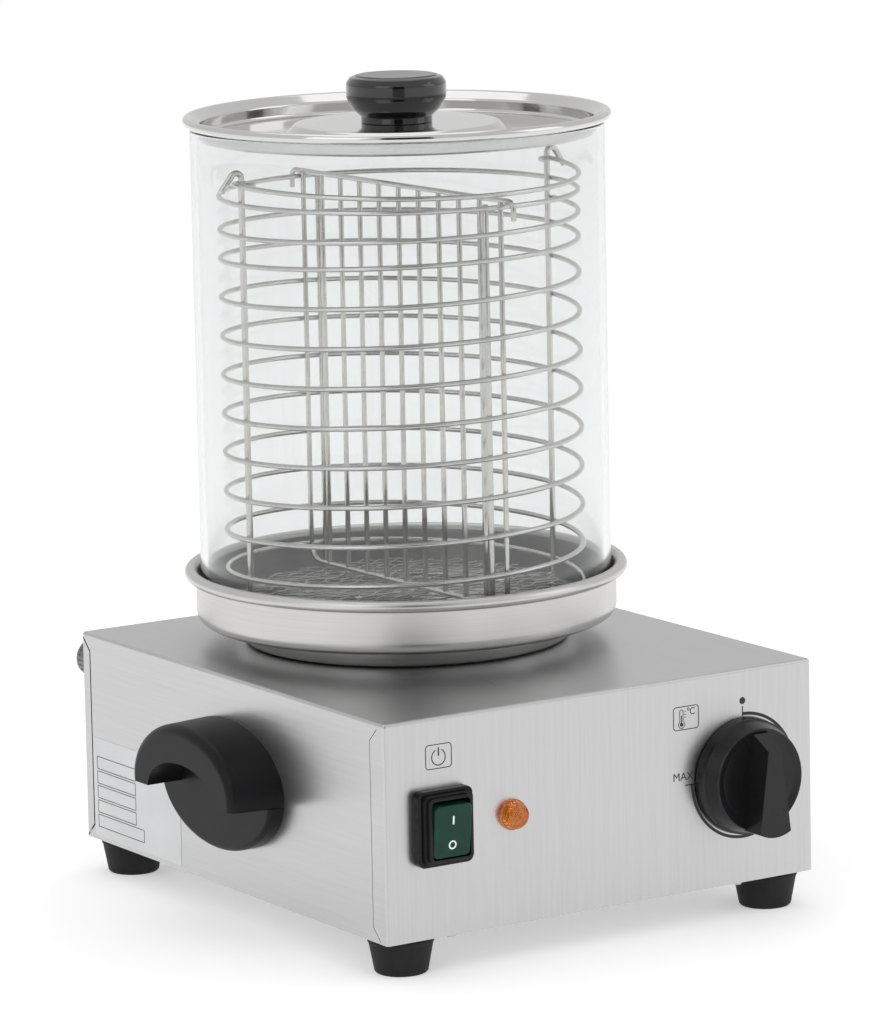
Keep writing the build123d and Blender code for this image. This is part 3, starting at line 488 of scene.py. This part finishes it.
def clear_glass():
    """Clear tube glass with a faint green body and light surface smears."""
    s = Shader("tube_glass", Base_Color=(0.872, 0.886, 0.884, 1.0), Roughness=0.0, IOR=1.46,
               Transmission_Weight=1.0)
    smear = s.noise(s.stretched((60.0, 60.0, 22.0)), 1.0, 5.0, 0.6)
    s.link(s.span(smear, 0.52, 0.8, 0.0, 0.035), "Roughness")
    output = s.tree.nodes["Material Output"]
    path = s.node("ShaderNodeLightPath")
    clear = s.node("ShaderNodeBsdfTransparent", {0: (0.90, 0.915, 0.91, 1.0)})
    mix = s.node("ShaderNodeMixShader", {0: path.outputs["Is Shadow Ray"], 1: s.shader.outputs[0],
                                         2: clear.outputs[0]})
    s.tree.links.new(mix.outputs[0], output.inputs[0])
    return s.material


def lamp_plastic():
    """Amber lens: coloured clear plastic that scatters light inside."""
    s = Shader("lamp_amber", Base_Color=(0.9, 0.28, 0.01, 1.0), Roughness=0.06, IOR=1.49,
               Transmission_Weight=0.7, Subsurface_Weight=0.3, Subsurface_Scale=0.003,
               Coat_Weight=0.3, Coat_Roughness=0.05,
               Emission_Color=(1.0, 0.30, 0.01, 1.0), Emission_Strength=0.03)
    s.shader.inputs["Subsurface Radius"].default_value = (1.0, 0.4, 0.05)
    swirl = s.noise(s.stretched((420.0, 420.0, 420.0)), 1.0, 3.0)
    s.link(s.ramp(swirl, (0.3, (0.84, 0.20, 0.005)), (0.7, (0.95, 0.42, 0.015))), "Base Color")
    return s.material


def rocker_plastic():
    """Green translucent rocker."""
    s = Shader("rocker_green", Roughness=0.22, Subsurface_Weight=0.3, Subsurface_Scale=0.003, Coat_Weight=0.1,
               Coat_Roughness=0.12, IOR=1.49, Specular_IOR_Level=0.22)
    s.shader.inputs["Subsurface Radius"].default_value = (0.1, 1.0, 0.4)
    swirl = s.noise(s.stretched((150.0, 150.0, 150.0)), 1.0, 4.0)
    s.link(s.ramp(swirl, (0.3, (0.001, 0.032, 0.021)), (0.75, (0.002, 0.050, 0.029))), "Base Color")
    fine = s.noise(s.stretched((1500.0, 1500.0, 1500.0)), 1.0, 2.0)
    s.link(s.bump(fine, 0.08, 0.00006), "Normal")
    return s.material


def ink(name, color, rough=0.55):
    """Screen-printed ink with a slightly uneven edge of gloss."""
    s = Shader(name, Specular_IOR_Level=0.3)
    fine = s.noise(s.stretched((1800.0, 1800.0, 1800.0)), 1.0, 3.0)
    s.link(s.ramp(fine, (0.3, color), (0.8, tuple(c * 1.4 + 0.004 for c in color))), "Base Color")
    s.link(s.span(fine, 0.3, 0.7, rough * 0.9, rough * 1.1), "Roughness")
    return s.material


def foil():
    """Silver foil sticker."""
    s = Shader("label_foil", Metallic=0.85)
    cloud = s.noise(s.stretched((40.0, 25.0, 40.0)), 1.0, 4.0)
    fine = s.noise(s.stretched((1500.0, 1500.0, 1500.0)), 1.0, 2.0)
    s.link(s.ramp(cloud, (0.3, (0.60, 0.605, 0.61)), (0.7, (0.68, 0.685, 0.69))), "Base Color")
    s.link(s.span(cloud, 0.3, 0.7, 0.34, 0.44), "Roughness")
    s.link(s.bump(fine, 0.1, 0.00004), "Normal")
    return s.material


HOUSING = brushed_sheet("housing_brushed", (0.575, 0.575, 0.58), 0.30, 0.07, aniso=0.55)
PLAIN_STEEL = wire_steel("plain_steel", (0.52, 0.52, 0.52), 0.42)
SCREW = wire_steel("screw_steel", (0.62, 0.62, 0.62), 0.24)
PAN_STEEL = spun_steel("pan_steel", (0.62, 0.615, 0.605), 0.33)
LID_STEEL = spun_steel("lid_steel", (0.66, 0.655, 0.65), 0.09, bump=0.05)
BASKET = wire_steel("basket_wire", (0.70, 0.685, 0.66), 0.20)
SCREEN = wire_steel("screen_wire", (0.56, 0.54, 0.51), 0.32)
WELD = wire_steel("weld_spots", (0.40, 0.35, 0.29), 0.38, tint=0.2)
GLASS = clear_glass()
HANDLE = moulded("handle_plastic", (0.006, 0.006, 0.007), 0.36, spec=0.17)
KNOB = moulded("knob_plastic", (0.009, 0.009, 0.010), 0.24, spec=0.34)
LID_KNOB = moulded("lid_knob_plastic", (0.006, 0.006, 0.007), 0.10, depth=0.02, coat=0.6)
BEZEL = moulded("switch_plastic", (0.005, 0.005, 0.006), 0.25, spec=0.22)
BOOT = rubber("boot_rubber", (0.005, 0.005, 0.005), 0.42)
FOOT = rubber("foot_rubber", (0.008, 0.008, 0.009))
GLAND = moulded("gland_plastic", (0.014, 0.014, 0.015), 0.5)
CASE = moulded("thermostat_case", (0.62, 0.60, 0.54), 0.5, lift=1.15)
BLACK_CASE = moulded("lamp_case", (0.02, 0.02, 0.02), 0.5)
COLLAR = wire_steel("collar_metal", (0.20, 0.20, 0.21), 0.34)
PLATE = spun_steel("heater_aluminium", (0.74, 0.74, 0.74), 0.35, grain=0.06, rings=500.0, bump=0.3)
SHEATH = wire_steel("element_sheath", (0.30, 0.28, 0.26), 0.45, tint=0.2)
BRASS = wire_steel("terminal_metal", (0.75, 0.58, 0.30), 0.3)
LEAD = moulded("wire_insulation", (0.40, 0.05, 0.03), 0.5, lift=1.2)
INSET = spun_steel("inset_metal", (0.10, 0.10, 0.105), 0.22, rings=700.0)
AMBER = lamp_plastic()
GREEN = rocker_plastic()
INK = ink("printed_ink", (0.035, 0.035, 0.037))
WHITE_INK = ink("white_ink", (0.78, 0.80, 0.79))
FOIL = foil()

CAD_LOOKS = {
    HOUSING: ["housing_shell"],
    PLAIN_STEEL: ["bottom_plate", "heat_shield", "element_clamp", "thermostat_shaft"],
    SCREW: ["bottom_screws", "foot_screws", "handle_screws", "clamp_nuts", "thermostat_screws", "earth_stud",
            "gland_locknut", "lid_screw", "lid_washer", "terminal_screws"],
    FOOT: ["foot_front_left", "foot_front_right", "foot_rear_left", "foot_rear_right"],
    HANDLE: ["handle_left", "handle_right"],
    KNOB: ["thermostat_knob"],
    PLATE: ["hot_plate"],
    SHEATH: ["heating_element", "thermostat_capillary"],
    CASE: ["thermostat_body", "limiter_body", "terminal_block"],
    BEZEL: ["switch_frame"],
    GREEN: ["rocker"],
    BRASS: ["switch_terminals"],
    AMBER: ["pilot_lamp_lens"],
    BLACK_CASE: ["pilot_lamp_body", "reset_button"],
    COLLAR: ["reset_collar"],
    GLAND: ["gland_body", "gland_nut"],
    BOOT: ["gland_seal", "switch_boot"],
    LEAD: ["wiring"],
    FOIL: ["rating_label"],
    PAN_STEEL: ["pan"],
    GLASS: ["glass_cylinder"],
    LID_STEEL: ["lid_pan"],
    LID_KNOB: ["lid_knob"],
    INSET: ["knob_disc"],
    BASKET: ["basket_coil", "basket_ring", "basket_hook_posts", "basket_plain_posts", "basket_cross_wires",
             "rack_frame", "rack_bars", "bail_handle"],
    SCREEN: ["basket_screen"],
}
for look, names in CAD_LOOKS.items():
    for node_name in names:
        NODES[node_name].data.materials.clear()
        NODES[node_name].data.materials.append(look)


# ---- water pan, tube and lid --------------------------------------------------------------------------
def build_pan():
    """Water pan: lowered floor, ledge, wall and a rolled rim that curls outwards."""
    ledge = PAN_BOTTOM + PAN_STEP
    outer = [(0, PAN_BOTTOM, 0), (PAN_FOOT_R, PAN_BOTTOM, 3.0), (PAN_FOOT_R + 3.6, ledge, 3.0),
             (PAN_WALL_R, ledge, 6.0), (PAN_WALL_R, PAN_RIM_Z + 1.0, 0)]
    outer = rounded(outer, closed=False, step=9)
    inner_wall = PAN_WALL_R - PAN_SHEET
    inner = [(inner_wall, PAN_RIM_Z, 0), (inner_wall, LEDGE_Z, 5.2), (PAN_FOOT_R + 3.3, LEDGE_Z, 2.2),
             (PAN_FOOT_R - 0.3, PAN_BOTTOM + PAN_SHEET, 2.2), (0, PAN_BOTTOM + PAN_SHEET, 0)]
    inner = rounded(inner, closed=False, step=9)
    roll = [(PAN_RIM_R + PAN_BEAD * cos(radians(a)), PAN_RIM_Z + PAN_BEAD * sin(radians(a)))
            for a in range(-150, 151, 12)]
    under_roll = (PAN_WALL_R, PAN_RIM_Z - PAN_BEAD * 0.75)
    profile = outer[:-1] + [under_roll] + roll + [(inner_wall, PAN_RIM_Z + 0.4)] + inner[1:]
    return new_object("water_pan", move(lathe(profile, 220), ON_AXIS), 50)


def build_glass():
    inner = GLASS_R - GLASS_WALL
    outline = rounded([(inner, GLASS_BOTTOM, 1.2), (GLASS_R, GLASS_BOTTOM, 1.2), (GLASS_R, GLASS_TOP, 1.4),
                       (inner, GLASS_TOP, 1.4)], step=15)
    return new_object("glass_tube", move(lathe(outline, 256), ON_AXIS), 60)


def build_lid():
    """Spun lid: raised centre, sunk floor, wall inside the tube and a rolled rim over the glass."""
    top = LID_RIM_Z + LID_BEAD
    flange = GLASS_TOP + 0.6
    boss = GLASS_TOP
    floor = LID_FLOOR_Z + LID_SHEET
    upper = [(0, boss, 0), (LID_BOSS_R, boss, 2.6), (LID_BOSS_R + 5.3, floor, 2.4),
             (LID_WALL_R - LID_SHEET, floor, 1.8), (LID_WALL_R - LID_SHEET, flange + 0.4, 1.6),
             (LID_RIM_R - 1.3, top - 0.4, 0)]
    upper = rounded(upper, closed=False, step=10)
    roll = [(LID_RIM_R + LID_BEAD * cos(radians(a)), LID_RIM_Z + LID_BEAD * sin(radians(a)))
            for a in range(84, -169, -12)]
    lower = [(LID_RIM_R - LID_BEAD, LID_RIM_Z - 0.5, 0), (LID_WALL_R, flange, 1.0),
             (LID_WALL_R, LID_FLOOR_Z, 2.6), (LID_BOSS_R + 5.1, LID_FLOOR_Z, 2.4),
             (LID_BOSS_R - 0.3, boss - LID_SHEET, 2.0), (0, boss - LID_SHEET, 0)]
    lower = rounded(lower, closed=False, step=10)
    return new_object("lid", move(lathe(upper + roll + lower, 220), ON_AXIS), 50)


def build_lid_knob():
    """Mushroom knob of polished phenolic."""
    z = GLASS_TOP + 0.02
    outline = [(0, z, 0), (17.2, z, 0.5), (17.2, z + 3.0, 0.8), (20.9, z + 6.4, 7.0), (24.25, z + 12.0, 7.0),
               (24.25, z + 19.0, 2.4), (22.4, z + 21.9, 1.6), (20.1, z + 22.6, 0.5), (19.7, z + 21.9, 0.1),
               (0, z + 21.9, 0)]
    return new_object("lid_knob_body", move(lathe(rounded(outline, step=8), 128), ON_AXIS), 50)


def build_knob_inset():
    z = GLASS_TOP + 0.02
    outline = [(0, z + 21.95, 0), (19.5, z + 21.95, 0.1), (19.5, z + 22.5, 0.4), (18.6, z + 22.98, 0.5),
               (0, z + 22.98, 0)]
    return new_object("knob_inset", move(lathe(rounded(outline, step=12), 96), ON_AXIS), 50)


# ---- basket -------------------------------------------------------------------------------------------
def helix_points(turns, pitch, top_angle, top_z, per_turn=64):
    count = int(turns * per_turn)
    return [polar(COIL_R, top_angle - 360 * turns * k / count, top_z - pitch * turns * k / count)
            for k in range(count + 1)]


def build_coil():
    tight = helix_points(TIGHT_TURNS, TIGHT_PITCH, POST_TURN, COIL_TOP_Z)
    open_top = COIL_TOP_Z - TIGHT_PITCH * TIGHT_TURNS
    wide = helix_points(OPEN_TURNS, OPEN_PITCH, POST_TURN - 360 * TIGHT_TURNS, open_top)
    path = spread(tight + wide)
    return new_object("basket_coil_wire", move(tube(path, COIL_WIRE, 12), ON_AXIS), 60)


def build_ring():
    path = [polar(COIL_R, 360 * k / 96, RING_Z) for k in range(96)]
    return new_object("basket_ring_wire", move(tube(path, COIL_WIRE, 12, closed=True), ON_AXIS), 60)


def build_hook_posts():
    bm = bmesh.new()
    for angle in (POST_TURN, POST_TURN + 180):
        out = Vector(polar(1, angle, 0))
        path = line3(out * POST_R + UP * POST_FOOT_Z, out * POST_R + UP * HOOK_Z, 4)
        path += arc3(out * (POST_R + HOOK_BEND) + UP * HOOK_Z, HOOK_BEND, 180, HOOK_SLOPE, out, UP, 14)
        slope = radians(HOOK_SLOPE)
        reach = (HOOK_R - POST_R - HOOK_BEND * (1 + cos(slope))) / sin(slope)
        arm = out * sin(slope) - UP * cos(slope)
        path += line3(path[-1], path[-1] + arm * reach, 3)
        tube(spread(path), POST_WIRE, 14, bm=bm)
    return new_object("basket_hooked_posts", move(bm, ON_AXIS), 60)


def build_plain_posts():
    bm = bmesh.new()
    for angle in (POST_TURN + 90, POST_TURN - 90):
        low, high = polar(POST_R, angle, POST_FOOT_Z), polar(POST_R, angle, RING_Z + 1.6)
        tube(line3(low, high, 3), POST_WIRE, 14, bm=bm)
    return new_object("basket_straight_posts", move(bm, ON_AXIS), 60)


def build_cross_wires():
    bm = bmesh.new()
    reach = POST_R - POST_WIRE
    upper = MESH_Z - 2 * MESH_WIRE - COIL_WIRE - 0.1
    for angle, z in ((POST_TURN, upper), (POST_TURN + 90, upper - 2 * COIL_WIRE)):
        tube(line3(polar(-reach, angle, z), polar(reach, angle, z), 3), COIL_WIRE, 12, bm=bm)
    return new_object("basket_cross_bars", move(bm, ON_AXIS), 60)


def build_screen():
    """Woven wire cloth laid diagonally, each wire passing over one and under the next."""
    bm = bmesh.new()
    count = int(MESH_R / MESH_STEP)
    tilt = 62.0
    crossing = MESH_STEP / sin(radians(2 * tilt))
    for layer, turn in ((1, RACK_TURN + tilt), (-1, RACK_TURN - tilt)):
        ahead = Vector(polar(1, turn, 0))
        beside = Vector(polar(1, turn + 90, 0))
        for index in range(-count, count + 1):
            half = sqrt(MESH_R ** 2 - (index * MESH_STEP) ** 2) - 0.15
            parts = max(6, int(half / crossing * 8))
            phase = index * pi + (0 if layer > 0 else pi)
            start = index * MESH_STEP / (sin(radians(2 * tilt)) / cos(radians(2 * tilt))) * layer
            path = []
            for k in range(parts + 1):
                along = -half + 2 * half * k / parts
                wave = MESH_WIRE * cos(pi * (along - start) / crossing + phase)
                path.append(ahead * along + beside * index * MESH_STEP + Vector((0, 0, MESH_Z + wave)))
            tube(path, MESH_WIRE * 0.98, 6, bm=bm)
    return new_object("basket_floor_cloth", move(bm, ON_AXIS), 60)


RACK_AHEAD = Vector(polar(1, RACK_TURN, 0))


def rack_point(along, z):
    return RACK_AHEAD * along + UP * z


def build_rack_frame():
    """Divider outline: hooked top bar, and the outer bars bent into the bottom wire."""
    bm = bmesh.new()
    half = RACK_SPAN / 2
    bend = 4.0
    path = [rack_point(-RACK_HOOK_R, RACK_TOP_Z - 9.0)]
    path += arc3(rack_point(-RACK_HOOK_R + bend, RACK_TOP_Z - bend), bend, 180, 90, RACK_AHEAD, UP, 8)
    path += arc3(rack_point(RACK_HOOK_R - bend, RACK_TOP_Z - bend), bend, 90, 0, RACK_AHEAD, UP, 8)
    path.append(rack_point(RACK_HOOK_R, RACK_TOP_Z - 9.0))
    tube(spread(path), BAR_WIRE, 12, bm=bm)
    corner = 9.0
    rise = RACK_TOP_Z - 0.4
    path = [rack_point(-half, rise), rack_point(-half, 250)]
    path += arc3(rack_point(-half + corner, RACK_BOTTOM_Z + corner), corner, 180, 270, RACK_AHEAD, UP, 10)
    path += arc3(rack_point(half - corner, RACK_BOTTOM_Z + corner), corner, 270, 360, RACK_AHEAD, UP, 10)
    path += [rack_point(half, 250), rack_point(half, rise)]
    tube(spread(path), BAR_WIRE, 12, bm=bm)
    return new_object("divider_outline", move(bm, ON_AXIS), 60)


def build_rack_bars():
    bm = bmesh.new()
    for index in range(1, RACK_GAPS):
        along = -RACK_SPAN / 2 + RACK_SPAN * index / RACK_GAPS
        low, high = RACK_BOTTOM_Z + BAR_WIRE * 0.4, RACK_TOP_Z - BAR_WIRE * 0.4
        tube(line3(rack_point(along, low), rack_point(along, high), 3), BAR_WIRE, 12, bm=bm)
    return new_object("divider_bars", move(bm, ON_AXIS), 60)


def build_bail():
    eye = POST_WIRE + BAIL_WIRE + 0.5
    x, y = Vector((1, 0, 0)), Vector((0, 1, 0))
    reach = POST_R + eye
    path = [Vector((-POST_R + eye, -BAIL_STUB, 0))]
    path += arc3((-POST_R, 0, 0), eye, 0, 180, x, y, 14)
    path += arc3((0, 0, 0), reach, 180, 360, x, y, 72)
    path += arc3((POST_R, 0, 0), eye, 0, 180, x, y, 14)
    path.append(Vector((POST_R - eye, -BAIL_STUB, 0)))
    bm = tube(spread(path), BAIL_WIRE, 12)
    slope = Matrix.Rotation(radians(BAIL_SLOPE), 4, "X")
    turn = Matrix.Rotation(radians(POST_TURN), 4, "Z")
    move(bm, Matrix.Translation((0, TUBE_Y, BAIL_Z)) @ turn @ slope)
    return new_object("bail_wire", bm, 60)


def bead(bm, centre, along, size, flat):
    """Small weld bead: an egg-shaped lump."""
    turned = Vector(along).to_track_quat("Z", "Y").to_matrix().to_4x4()
    matrix = Matrix.Translation(centre) @ turned @ Matrix.Diagonal((flat, flat, size, 1))
    made = bmesh.ops.create_icosphere(bm, subdivisions=2, radius=1.0)
    bmesh.ops.transform(bm, matrix=matrix, verts=made["verts"])


def build_welds():
    """Discoloured spot welds where wires cross."""
    bm = bmesh.new()
    touch = POST_R + POST_WIRE
    for angle in (POST_TURN, POST_TURN + 90, POST_TURN + 180, POST_TURN - 90):
        for z in coil_heights(angle) + [RING_Z]:
            bead(bm, polar(touch - 0.05, angle, z), UP, 1.15 + random.uniform(-0.1, 0.2), 0.85)
    for index in range(RACK_GAPS + 1):
        along = -RACK_SPAN / 2 + RACK_SPAN * index / RACK_GAPS
        bead(bm, rack_point(along, RACK_TOP_Z - BAR_WIRE * 0.95), RACK_AHEAD, 1.5, 0.95)
        if 0 < index < RACK_GAPS:
            bead(bm, rack_point(along, RACK_BOTTOM_Z + BAR_WIRE * 0.95), RACK_AHEAD, 1.5, 0.95)
    return new_object("basket_weld_spots", move(bm, ON_AXIS), 60)


def coil_heights(angle):
    """Heights where the coil passes an angle."""
    found = []
    turn = POST_TURN - angle
    while turn < 0:
        turn += 360
    while True:
        tight = 360 * TIGHT_TURNS
        if turn <= tight:
            z = COIL_TOP_Z - TIGHT_PITCH * turn / 360
        else:
            z = COIL_TOP_Z - TIGHT_PITCH * TIGHT_TURNS - OPEN_PITCH * (turn - tight) / 360
        if turn > 360 * (TIGHT_TURNS + OPEN_TURNS) + 1:
            return found
        found.append(z)
        turn += 360


place(build_pan(), PAN_STEEL, "water pan", ["pan"])
place(build_glass(), GLASS, "glass tube", ["glass_cylinder"])
place(build_lid(), LID_STEEL, "lid", ["lid_pan"])
place(build_lid_knob(), LID_KNOB, "lid", ["lid_knob"])
place(build_knob_inset(), INSET, "lid", ["knob_disc"])
for make, node in ((build_coil, "basket_coil"), (build_ring, "basket_ring"),
                   (build_hook_posts, "basket_hook_posts"), (build_plain_posts, "basket_plain_posts"),
                   (build_cross_wires, "basket_cross_wires")):
    place(make(), BASKET, "basket", [node])
place(build_screen(), SCREEN, "basket", ["basket_screen"])
for make, node in ((build_rack_frame, "rack_frame"), (build_rack_bars, "rack_bars")):
    place(make(), BASKET, "basket", [node])
place(build_welds(), WELD, "basket")
place(build_bail(), BASKET, "bail", ["bail_handle"])


# ---- printed marks ------------------------------------------------------------------------------------
PRINT = 0.05


def stroke(bm, points, width, low=0.0, high=PRINT, closed=False):
    """Flat printed line along a list of XY points."""
    count = len(points)
    sides = ([], [])
    for i in range(count):
        a = Vector(points[i - 1] if closed or i else points[i])
        b = Vector(points[(i + 1) % count] if closed or i < count - 1 else points[i])
        t = (b - a).normalized()
        n = Vector((-t.y, t.x)) * width / 2
        p = Vector(points[i])
        sides[0].append(p + n)
        sides[1].append(p - n)
    rows = []
    for edge in sides:
        rows.append([bm.verts.new((p.x, p.y, low)) for p in edge])
        rows.append([bm.verts.new((p.x, p.y, high)) for p in edge])
    span = range(count if closed else count - 1)
    for i in span:
        j = (i + 1) % count
        bm.faces.new((rows[1][i], rows[1][j], rows[3][j], rows[3][i]))
        bm.faces.new((rows[0][i], rows[2][i], rows[2][j], rows[0][j]))
        bm.faces.new((rows[0][i], rows[0][j], rows[1][j], rows[1][i]))
        bm.faces.new((rows[2][i], rows[3][i], rows[3][j], rows[2][j]))
    if not closed:
        for i in (0, count - 1):
            bm.faces.new((rows[0][i], rows[1][i], rows[3][i], rows[2][i]))
    return bm


def box_outline(w, h, r, cx=0.0, cy=0.0):
    return rounded([(cx - w / 2, cy - h / 2, r), (cx + w / 2, cy - h / 2, r), (cx + w / 2, cy + h / 2, r),
                    (cx - w / 2, cy + h / 2, r)], step=18)


def ring_outline(radius, cx=0.0, cy=0.0, start=0.0, sweep=360.0, count=40):
    return circle_points(radius, cx, cy, start, sweep, count)


def lettering(bm, words, size, cx, cy, high=PRINT):
    """Generic lettering as solid flat letters, centred on a point."""
    curve = bpy.data.curves.new("letters", "FONT")
    curve.body = words
    curve.size = size
    curve.align_x = "CENTER"
    curve.align_y = "CENTER"
    curve.resolution_u = 6
    curve.extrude = high / 2
    holder = bpy.data.objects.new("letters", curve)
    bpy.context.scene.collection.objects.link(holder)
    bpy.context.view_layer.update()
    mesh = bpy.data.meshes.new_from_object(holder)
    mesh.transform(Matrix.Translation((cx, cy, high / 2)))
    bm.from_mesh(mesh)
    bpy.data.objects.remove(holder)
    bpy.data.meshes.remove(mesh)
    bpy.data.curves.remove(curve)
    return bm


def build_power_mark():
    """Standard on/off sign in a rounded frame above the switch."""
    bm = bmesh.new()
    x, z = -91.0, 101.7
    stroke(bm, box_outline(14.0, 11.2, 1.6, x, z), 0.42, closed=True)
    stroke(bm, ring_outline(3.7, x, z - 0.4, 115, 310, 30), 0.5)
    stroke(bm, [(x, z + 0.2), (x, z + 4.2)], 0.7)
    return bm


def build_dial_marks():
    """Dot, start tick, growing arc, MAX tick and lettering round the thermostat knob."""
    bm = bmesh.new()
    x, z = KNOB_X, CONTROL_Z
    prism(circle_points(1.7, x, 104.8, count=24), 0, PRINT, bm=bm)
    stroke(bm, [(x, 97.3), (x, 102.2)], 0.5)
    stroke(bm, ring_outline(29.6, x, z, 90, -270, 90), 1.5)
    stroke(bm, [(46.7, z - 0.3), (52.5, z - 0.3)], 0.6)
    lettering(bm, "MAX", 5.5, 45.4, 72.8)
    return bm


def build_thermometer_mark():
    """Thermometer and °C in a rounded frame."""
    bm = bmesh.new()
    x, z = 47.5, 100.9
    stroke(bm, box_outline(14.4, 11.0, 1.6, x, z), 0.42, closed=True)
    tx = x - 2.6
    stem = ring_outline(0.95, tx, z + 3.2, 0, 180, 10) + ring_outline(1.75, tx, z - 3.0, 122, 296, 20)
    stroke(bm, stem, 0.36, closed=True)
    prism(circle_points(1.0, tx, z - 3.0, count=16), 0, PRINT, bm=bm)
    stroke(bm, [(tx, z - 2.4), (tx, z + 1.4)], 0.5)
    for k in range(3):
        stroke(bm, [(tx + 1.6, z + 0.4 + k * 1.3), (tx + 2.7, z + 0.4 + k * 1.3)], 0.3)
    stroke(bm, ring_outline(0.62, x + 1.4, z + 4.0, count=16), 0.3, closed=True)
    stroke(bm, ring_outline(1.5, x + 4.0, z + 2.9, 45, 270, 18), 0.42)
    return bm


def front_print(name, bm):
    """Move marks drawn in panel X and height onto the front panel."""
    turn = Matrix.Translation((0, FRONT - 0.02, 0)) @ Matrix.Rotation(radians(90), 4, "X")
    return place(new_object(name, move(bm, turn)), INK, "base")


front_print("power_mark", build_power_mark())
front_print("dial_marks", build_dial_marks())
front_print("thermometer_mark", build_thermometer_mark())


def build_label_frames():
    """Five empty frames on the foil plate, the lowest one wider."""
    bm = bmesh.new()
    rear, low, tall, pitch = -125.8, 23.9, 6.1, 7.3
    for row in range(5):
        wide = 37.0 if row else 44.5
        middle = (rear + wide / 2, low + row * pitch + tall / 2)
        stroke(bm, box_outline(wide, tall, 0.2, *middle), 0.35, closed=True)
    return bm


label = move(build_label_frames(), Matrix.Translation((-0.16, 0, 0)) @ on_left(0, 0))
place(new_object("label_frames", label), INK, "base")


def build_rocker_marks():
    """White I and O on the tilted rocker."""
    bm = bmesh.new()
    face = ROCKER_TOP
    stroke(bm, [(0, 3.4), (0, 7.4)], 0.9, face - 0.1, face + PRINT)
    stroke(bm, ring_outline(1.75, 0, -6.4, count=30), 0.75, face - 0.1, face + PRINT, closed=True)
    pivot = Matrix.Translation((0, 0, ROCKER_PIVOT)) @ Matrix.Rotation(radians(ROCKER_TILT), 4, "X")
    return move(bm, on_front(SWITCH_X, SWITCH_Z) @ pivot @ Matrix.Translation((0, 0, -ROCKER_PIVOT)))


place(new_object("rocker_marks", build_rocker_marks()), WHITE_INK, "switch rocker")


# ---- studio -------------------------------------------------------------------------------------------
def stage_plane(name, half):
    """Square plane of the set, not part of the object."""
    bm = bmesh.new()
    bmesh.ops.create_grid(bm, x_segments=1, y_segments=1, size=half)
    mesh = bpy.data.meshes.new(name)
    bm.to_mesh(mesh)
    bm.free()
    plane = bpy.data.objects.new(name, mesh)
    bpy.context.scene.collection.objects.link(plane)
    return plane


def finish_plane(plane, shader, low, high):
    """Give a set plane a fine grey grain."""
    grain = shader.noise(shader.stretched((300.0, 300.0, 300.0)), 1.0, 3.0)
    shader.link(shader.ramp(grain, (0.3, (low,) * 3), (0.7, (high,) * 3)), "Base Color")
    plane.data.materials.append(shader.material)


def studio_floor():
    """Pale paper that glows a little, so that it stays white under soft light."""
    shader = Shader("floor_paper", Base_Color=(0.86, 0.86, 0.86, 1.0), Roughness=0.95, Specular_IOR_Level=0.1,
                    Emission_Color=(1.0, 1.0, 1.0, 1.0), Emission_Strength=0.36)
    finish_plane(stage_plane("floor", 30.0), shader, 0.855, 0.87)


def dark_flag():
    """Dark panel beside the camera and out of its sight: bright wires and black plastics mirror it."""
    flag = stage_plane("flag", 0.5)
    azimuth, distance = radians(-27.5), 3.6
    flag.location = (distance * sin(azimuth), -distance * cos(azimuth), 1.6)
    flag.rotation_euler = (radians(90), 0, azimuth)
    flag.scale = (1.8, 3.2, 1.0)
    flag.visible_camera = False
    flag.visible_shadow = False
    flag.visible_diffuse = False
    finish_plane(flag, Shader("flag_cloth", Roughness=0.9, Specular_IOR_Level=0.1), 0.02, 0.025)


def soft_box(name, size, place_at, aim, power):
    """Large rectangular studio light."""
    light = bpy.data.lights.new(name, "AREA")
    light.shape = "RECTANGLE"
    light.size, light.size_y = size
    light.energy = power
    obj = bpy.data.objects.new(name, light)
    bpy.context.scene.collection.objects.link(obj)
    obj.location = place_at
    obj.rotation_euler = (Vector(aim) - Vector(place_at)).to_track_quat("-Z", "Y").to_euler()
    return obj


def studio_world():
    world = bpy.data.worlds.new("studio")
    bpy.context.scene.world = world
    world.use_nodes = True
    world.node_tree.nodes["Background"].inputs[0].default_value = (1.0, 1.0, 1.0, 1.0)
    world.node_tree.nodes["Background"].inputs[1].default_value = 0.73


def studio_camera():
    """Long lens, a little above the object and to its left, on a shifted film."""
    azimuth, elevation, roll = radians(-32.904), radians(8.649), radians(-1.139)
    place_at = (-1.44808, -2.23802, 0.66156)
    back = Vector((sin(azimuth) * cos(elevation), -cos(azimuth) * cos(elevation), sin(elevation)))
    right = UP.cross(back).normalized()
    up = back.cross(right)
    tilted = right * cos(roll) + up * sin(roll)
    upright = up * cos(roll) - right * sin(roll)
    data = bpy.data.cameras.new("camera")
    data.lens = 197.362
    data.sensor_width = 36.0
    data.shift_x = 0.01385
    data.shift_y = -0.14218
    data.clip_start, data.clip_end = 0.05, 60.0
    camera = bpy.data.objects.new("camera", data)
    bpy.context.scene.collection.objects.link(camera)
    turn = Matrix((tilted, upright, back)).transposed().to_4x4()
    camera.matrix_world = Matrix.Translation(place_at) @ turn
    bpy.context.scene.camera = camera


studio_floor()
dark_flag()
studio_world()
studio_camera()
soft_box("key_left", (1.6, 2.2), (-2.4, -1.0, 1.7), (0, 0, 0.2), 8)
soft_box("fill_right", (1.4, 2.0), (2.2, -1.6, 1.4), (0, 0, 0.2), 6)
soft_box("top", (2.0, 2.0), (0.2, 0.6, 2.6), (0, 0, 0.2), 8)
bpy.context.scene.view_settings.view_transform = "Standard"
